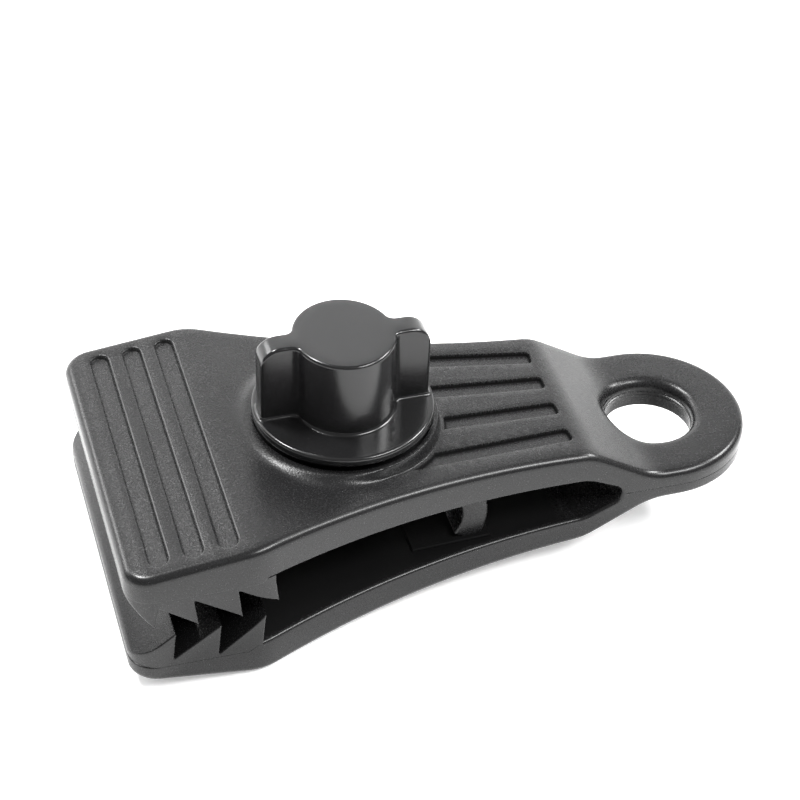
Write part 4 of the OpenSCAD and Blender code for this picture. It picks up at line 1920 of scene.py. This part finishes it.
@dataclass(frozen=True)
class ScrewSizes:
    """Hex-head screw with a coarse thread.

    Attributes:
        thread_r: Outer radius of the thread.
        root_r: Radius at its root.
        pitch: Rise of a turn.
        shank_l: Length under the head.
        head_w: Width across the head's flats.
        head_h: Height of the head.
        head_z: Height of the head's underside over the parting plane.
    """

    thread_r: float = 2.45
    root_r: float = 2.05
    pitch: float = 0.8
    shank_l: float = 25.0
    head_w: float = 8.0
    head_h: float = 3.5
    head_z: float = 16.4


class ScrewTree(Graph):
    """Geometry Nodes that draw a hex-head screw, its head above the origin and its thread below.

    Args:
        name: Name of the tree.
        sizes: The tree's named inputs, in metres.
        material: Finish of the whole screw.
    """

    ROD_SIDES = 48
    TURN_STEPS = 32

    def __init__(self, name: str, sizes: dict, material: bpy.types.Material) -> None:
        """Builds the tree: inputs, the three parts, and the output."""
        super().__init__(bpy.data.node_groups.new(name, "GeometryNodeTree"))
        self.tree.is_modifier = True
        face = self.tree.interface
        face.new_socket("Geometry", in_out="OUTPUT", socket_type="NodeSocketGeometry")
        for label in sizes:
            face.new_socket(label, in_out="INPUT", socket_type="NodeSocketFloat")
        entry = self.add("NodeGroupInput")
        self.size = {label: Wire(self, entry.outputs[label]) for label in sizes}
        parts = [self._head(), self._rod(), self._thread()]
        joined = self.node("GeometryNodeJoinGeometry", {"Geometry": parts})
        real = self.node("GeometryNodeRealizeInstances", {"Geometry": joined})
        dressed = self.node("GeometryNodeSetMaterial", {"Geometry": real, "Material": material})
        self.add("NodeGroupOutput", {"Geometry": dressed})

    def _raised(self, shape: Wire, height: Wire) -> Wire:
        """A shape moved up by a height."""
        offset = self.node("ShaderNodeCombineXYZ", {"Z": height})
        return self.node("GeometryNodeTransform", {"Geometry": shape, "Translation": offset})

    def _cylinder(self, sides: int, radius: Wire, depth: Wire) -> Wire:
        """A cylinder round the origin."""
        return self.node("GeometryNodeMeshCylinder", {"Vertices": sides, "Radius": radius, "Depth": depth})

    def _head(self) -> Wire:
        """The hex head."""
        height = self.size["Head height"]
        return self._raised(self._cylinder(6, self.size["Head width"] / math.sqrt(3.0), height), height * 0.5)

    def _rod(self) -> Wire:
        """The rod at the root of the thread."""
        length = self.size["Shank length"]
        return self._raised(self._cylinder(self.ROD_SIDES, self.size["Root radius"], length), length * -0.5)

    def _thread(self) -> Wire:
        """Draws the ridge that winds down the rod.

        Returns:
            The ridge.
        """
        root = self.size["Root radius"]
        depth = self.size["Thread radius"] - root
        length = self.size["Shank length"]
        climb = length - depth * 2.0
        path = self.node(
            "GeometryNodeCurveSpiral",
            {
                "Resolution": self.TURN_STEPS, "Rotations": climb / self.size["Pitch"],
                "Start Radius": root, "End Radius": root, "Height": climb, "Reverse": True,
            },
        )
        path = self.node("GeometryNodeSetCurveNormal", {"Curve": path}, mode="Z_UP")
        ridge = self.node("GeometryNodeCurvePrimitiveCircle", {"Resolution": 4, "Radius": depth})
        sweep = {"Curve": path, "Profile Curve": ridge, "Fill Caps": True}
        return self._raised(self.node("GeometryNodeCurveToMesh", sweep), depth - length)


class ClampScrew:
    """The screw that is moulded into the knob.

    Args:
        sizes: Sizes of the moulding that the screw passes through.
        screw: The screw's own sizes.
    """

    def __init__(self, sizes: BodySizes, screw: ScrewSizes) -> None:
        """Keeps the sizes."""
        self.s = sizes
        self.screw = screw

    def build(self, material: bpy.types.Material) -> bpy.types.Object:
        """Draws the screw as one plain mesh.

        Args:
            material: Its finish.

        Returns:
            The object, with no modifier left.
        """
        screw = self.screw
        inputs = {
            "Thread radius": screw.thread_r * MILLIMETRE, "Root radius": screw.root_r * MILLIMETRE,
            "Pitch": screw.pitch * MILLIMETRE, "Shank length": screw.shank_l * MILLIMETRE,
            "Head width": screw.head_w * MILLIMETRE, "Head height": screw.head_h * MILLIMETRE,
        }
        tree = ScrewTree("hex_screw", inputs, material).tree
        obj = linked("screw", bpy.data.meshes.new("screw"))
        modifier = obj.modifiers.new("hex_screw", "NODES")
        modifier.node_group = tree
        for item in tree.interface.items_tree:
            if item.in_out == "INPUT":
                modifier[item.identifier] = inputs[item.name]
        drawn = obj.evaluated_get(bpy.context.evaluated_depsgraph_get())
        mesh = bpy.data.meshes.new_from_object(drawn)
        obj.modifiers.remove(modifier)
        obj.data = mesh
        # the node primitives bring an empty material slot with them
        mesh.materials.clear()
        mesh.materials.append(material)
        mesh.polygons.foreach_set("material_index", [0] * len(mesh.polygons))
        mesh.transform(Matrix.Translation(self.s.in_cad(self.s.screw_x, screw.head_z)))
        return obj


@dataclass(frozen=True)
class FloorSizes:
    """Floor that curves up into a backdrop, in metres.

    Attributes:
        front_y: Its front edge.
        back_y: Where it starts to curve up.
        cove_r: Radius of the curve.
        top_z: Height of the backdrop.
        half_w: Half the width.
        steps: Rows of the curve.
    """

    front_y: float = -1.2
    back_y: float = 0.5
    cove_r: float = 0.3
    top_z: float = 1.6
    half_w: float = 1.5
    steps: int = 18


@dataclass(frozen=True)
class SoftLight:
    """A rectangular area light that faces the clip.

    Attributes:
        name: Name of the light.
        place: Where it stands, in metres.
        width: Its width, in metres.
        depth: Its depth, in metres.
        power: Its power, in watts.
        aim: What it faces.
    """

    name: str
    place: tuple
    width: float
    depth: float
    power: float
    aim: tuple = (0.0, 0.0, 0.01)

    def build(self) -> bpy.types.Object:
        """Makes the light.

        Returns:
            The light's object.
        """
        light = bpy.data.lights.new(self.name, "AREA")
        light.shape = "RECTANGLE"
        light.size, light.size_y = self.width, self.depth
        light.energy = self.power
        obj = linked(self.name, light)
        obj.location = self.place
        obj.rotation_mode = "QUATERNION"
        obj.rotation_quaternion = (Vector(self.aim) - Vector(self.place)).to_track_quat("-Z", "Y")
        return obj


@dataclass(frozen=True)
class PhotoCamera:
    """The photo's camera, solved from the clip's own edges.

    Attributes:
        azimuth: Turn round the clip, in degrees.
        elevation: Angle over the ground, in degrees.
        roll: Tilt of the picture, in degrees.
        distance: Distance from the target.
        target: The point it looks at.
        focal: Focal length, in pixels.
        centre: The picture's optical centre, in pixels.
        side: Side of the square picture, in pixels.
        sensor: Width of the sensor.
        clip: Nearest and farthest distance drawn, in metres.
    """

    azimuth: float = -20.47
    elevation: float = 41.82
    roll: float = 4.22
    distance: float = 275.13
    target: tuple = (48.07, 0.0, -7.45)
    focal: float = 2233.49
    centre: tuple = (488.71, 493.69)
    side: float = 800.0
    sensor: float = 36.0
    clip: tuple = (0.01, 20.0)

    def build(self, sizes: BodySizes) -> bpy.types.Object:
        """Makes the camera.

        Args:
            sizes: Sizes that hold the frame's origin.

        Returns:
            The camera's object.
        """
        az, el, roll = map(math.radians, (self.azimuth, self.elevation, self.roll))
        back = Vector((math.sin(az) * math.cos(el), -math.cos(az) * math.cos(el), math.sin(el)))
        level = Vector((math.cos(az), math.sin(az), 0.0))
        upright = back.cross(level)
        right = level * math.cos(roll) + upright * math.sin(roll)
        up = upright * math.cos(roll) - level * math.sin(roll)
        place = Vector(self.target) + back * self.distance + Vector((-sizes.origin_x, 0.0, sizes.ground))
        data = bpy.data.cameras.new("photo_camera")
        data.sensor_width = self.sensor
        data.lens = self.focal / self.side * self.sensor
        data.shift_x = (self.side / 2 - self.centre[0]) / self.side
        data.shift_y = (self.centre[1] - self.side / 2) / self.side
        data.clip_start, data.clip_end = self.clip
        camera = linked("photo_camera", data)
        turned = Matrix((right, up, back)).transposed().to_4x4()
        camera.matrix_world = Matrix.Translation(place * MILLIMETRE) @ turned
        return camera


class Studio:
    """Floor, backdrop, lights and camera.

    Args:
        sizes: Sizes that hold the frame's origin.
    """

    LIGHTS = (
        SoftLight("key", (0.42, -0.4, 0.74), 0.46, 0.16, 7.5),
        SoftLight("left_box", (-0.36, 0.34, 0.86), 0.18, 0.14, 10.0),
        SoftLight("right_box", (0.7, 0.08, 0.67), 0.36, 0.18, 9.0),
        SoftLight("left_panel", (-0.6, 0.72, 0.5), 0.34, 0.26, 3.5),
        SoftLight("back_panel", (0.75, 0.75, 0.25), 0.6, 0.35, 0.5),
    )
    SURROUND = 0.38
    FLOOR_TONE, FLOOR_GLOW = 0.93, 0.35

    def __init__(self, sizes: BodySizes) -> None:
        """Keeps the sizes."""
        self.s = sizes

    def build(self) -> None:
        """Sets up the studio."""
        self._floor(FloorSizes())
        self._surround()
        for light in self.LIGHTS:
            obj = light.build()
        bpy.context.scene.camera = PhotoCamera().build(self.s)
        log.info("studio: floor, %d lights and the photo's camera", len(self.LIGHTS))

    def _floor(self, f: FloorSizes) -> None:
        """Builds a pale floor that curves up into a backdrop.

        Args:
            f: Its sizes.
        """
        profile = [(f.front_y, 0.0), (f.back_y, 0.0)]
        for a in np.radians(np.linspace(5, 90, f.steps)):
            profile.append((f.back_y + f.cove_r * math.sin(a), f.cove_r * (1 - math.cos(a))))
        profile.append((f.back_y + f.cove_r, f.top_z))
        draft = Draft()
        draft.loft([draft.add([(-f.half_w, y, z), (f.half_w, y, z)]) for y, z in profile])
        mesh = bpy.data.meshes.new("floor")
        mesh.from_pydata(draft.points, [], draft.faces)
        mesh.polygons.foreach_set("use_smooth", [True] * len(mesh.polygons))
        mesh.materials.append(PlainMatte("pale_floor", self.FLOOR_TONE, self.FLOOR_GLOW).build())
        floor = linked("floor", mesh)

    def _surround(self) -> None:
        """Lights the scene evenly from all round."""
        world = bpy.data.worlds.new("surround")
        bpy.context.scene.world = world
        world.use_nodes = True
        background = world.node_tree.nodes["Background"]
        background.inputs["Color"].default_value = (1.0, 1.0, 1.0, 1.0)
        background.inputs["Strength"].default_value = self.SURROUND


def main() -> None:
    """Builds the whole scene."""
    logging.basicConfig(level=logging.INFO, format="%(message)s")
    sizes = BodySizes()
    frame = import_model()
    body = MouldedPlastic(
        "body_finish", (0.0085, 0.0085, 0.0088), rough=0.27, specular=0.32, grain=0.00006, painted_glint=3.0,
        grained_x=(-0.0275, -0.0225),
    ).build()
    knob_finish = MouldedPlastic(
        "knob_finish", (0.008, 0.008, 0.0083), rough=0.2, specular=0.45, grain=0.000004, painted_glint=0.1,
    ).build()
    steel = ZincSteel().build()

    moulding = Moulding(sizes)
    pieces = moulding.build()
    moulding.dress(pieces, body)
    for name, obj in pieces.items():
        log.info("%s: %d faces", name, len(obj.data.polygons))

    knob = Knob(KnobSizes(), sizes.screw_x).draft().to_object("knob", sizes)
    knob.data.materials.append(knob_finish)
    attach(knob, Body.KNOB.value)
    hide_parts("thumb_knob")
    log.info("knob: %d faces", len(knob.data.polygons))

    screw = ClampScrew(sizes, ScrewSizes()).build(steel)
    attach(screw, Body.KNOB.value)
    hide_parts("clamp_screw")
    log.info("screw: %d faces", len(screw.data.polygons))

    for node in ("hex_nut", "washer"):
        obj = frame["nodes"][node]
        obj.data.materials.clear()
        obj.data.materials.append(steel)
        log.info("%s: CAD node dressed", node)

    Studio(sizes).build()
    bpy.context.scene.view_settings.view_transform = "Standard"


if __name__ == "__main__":
    main()
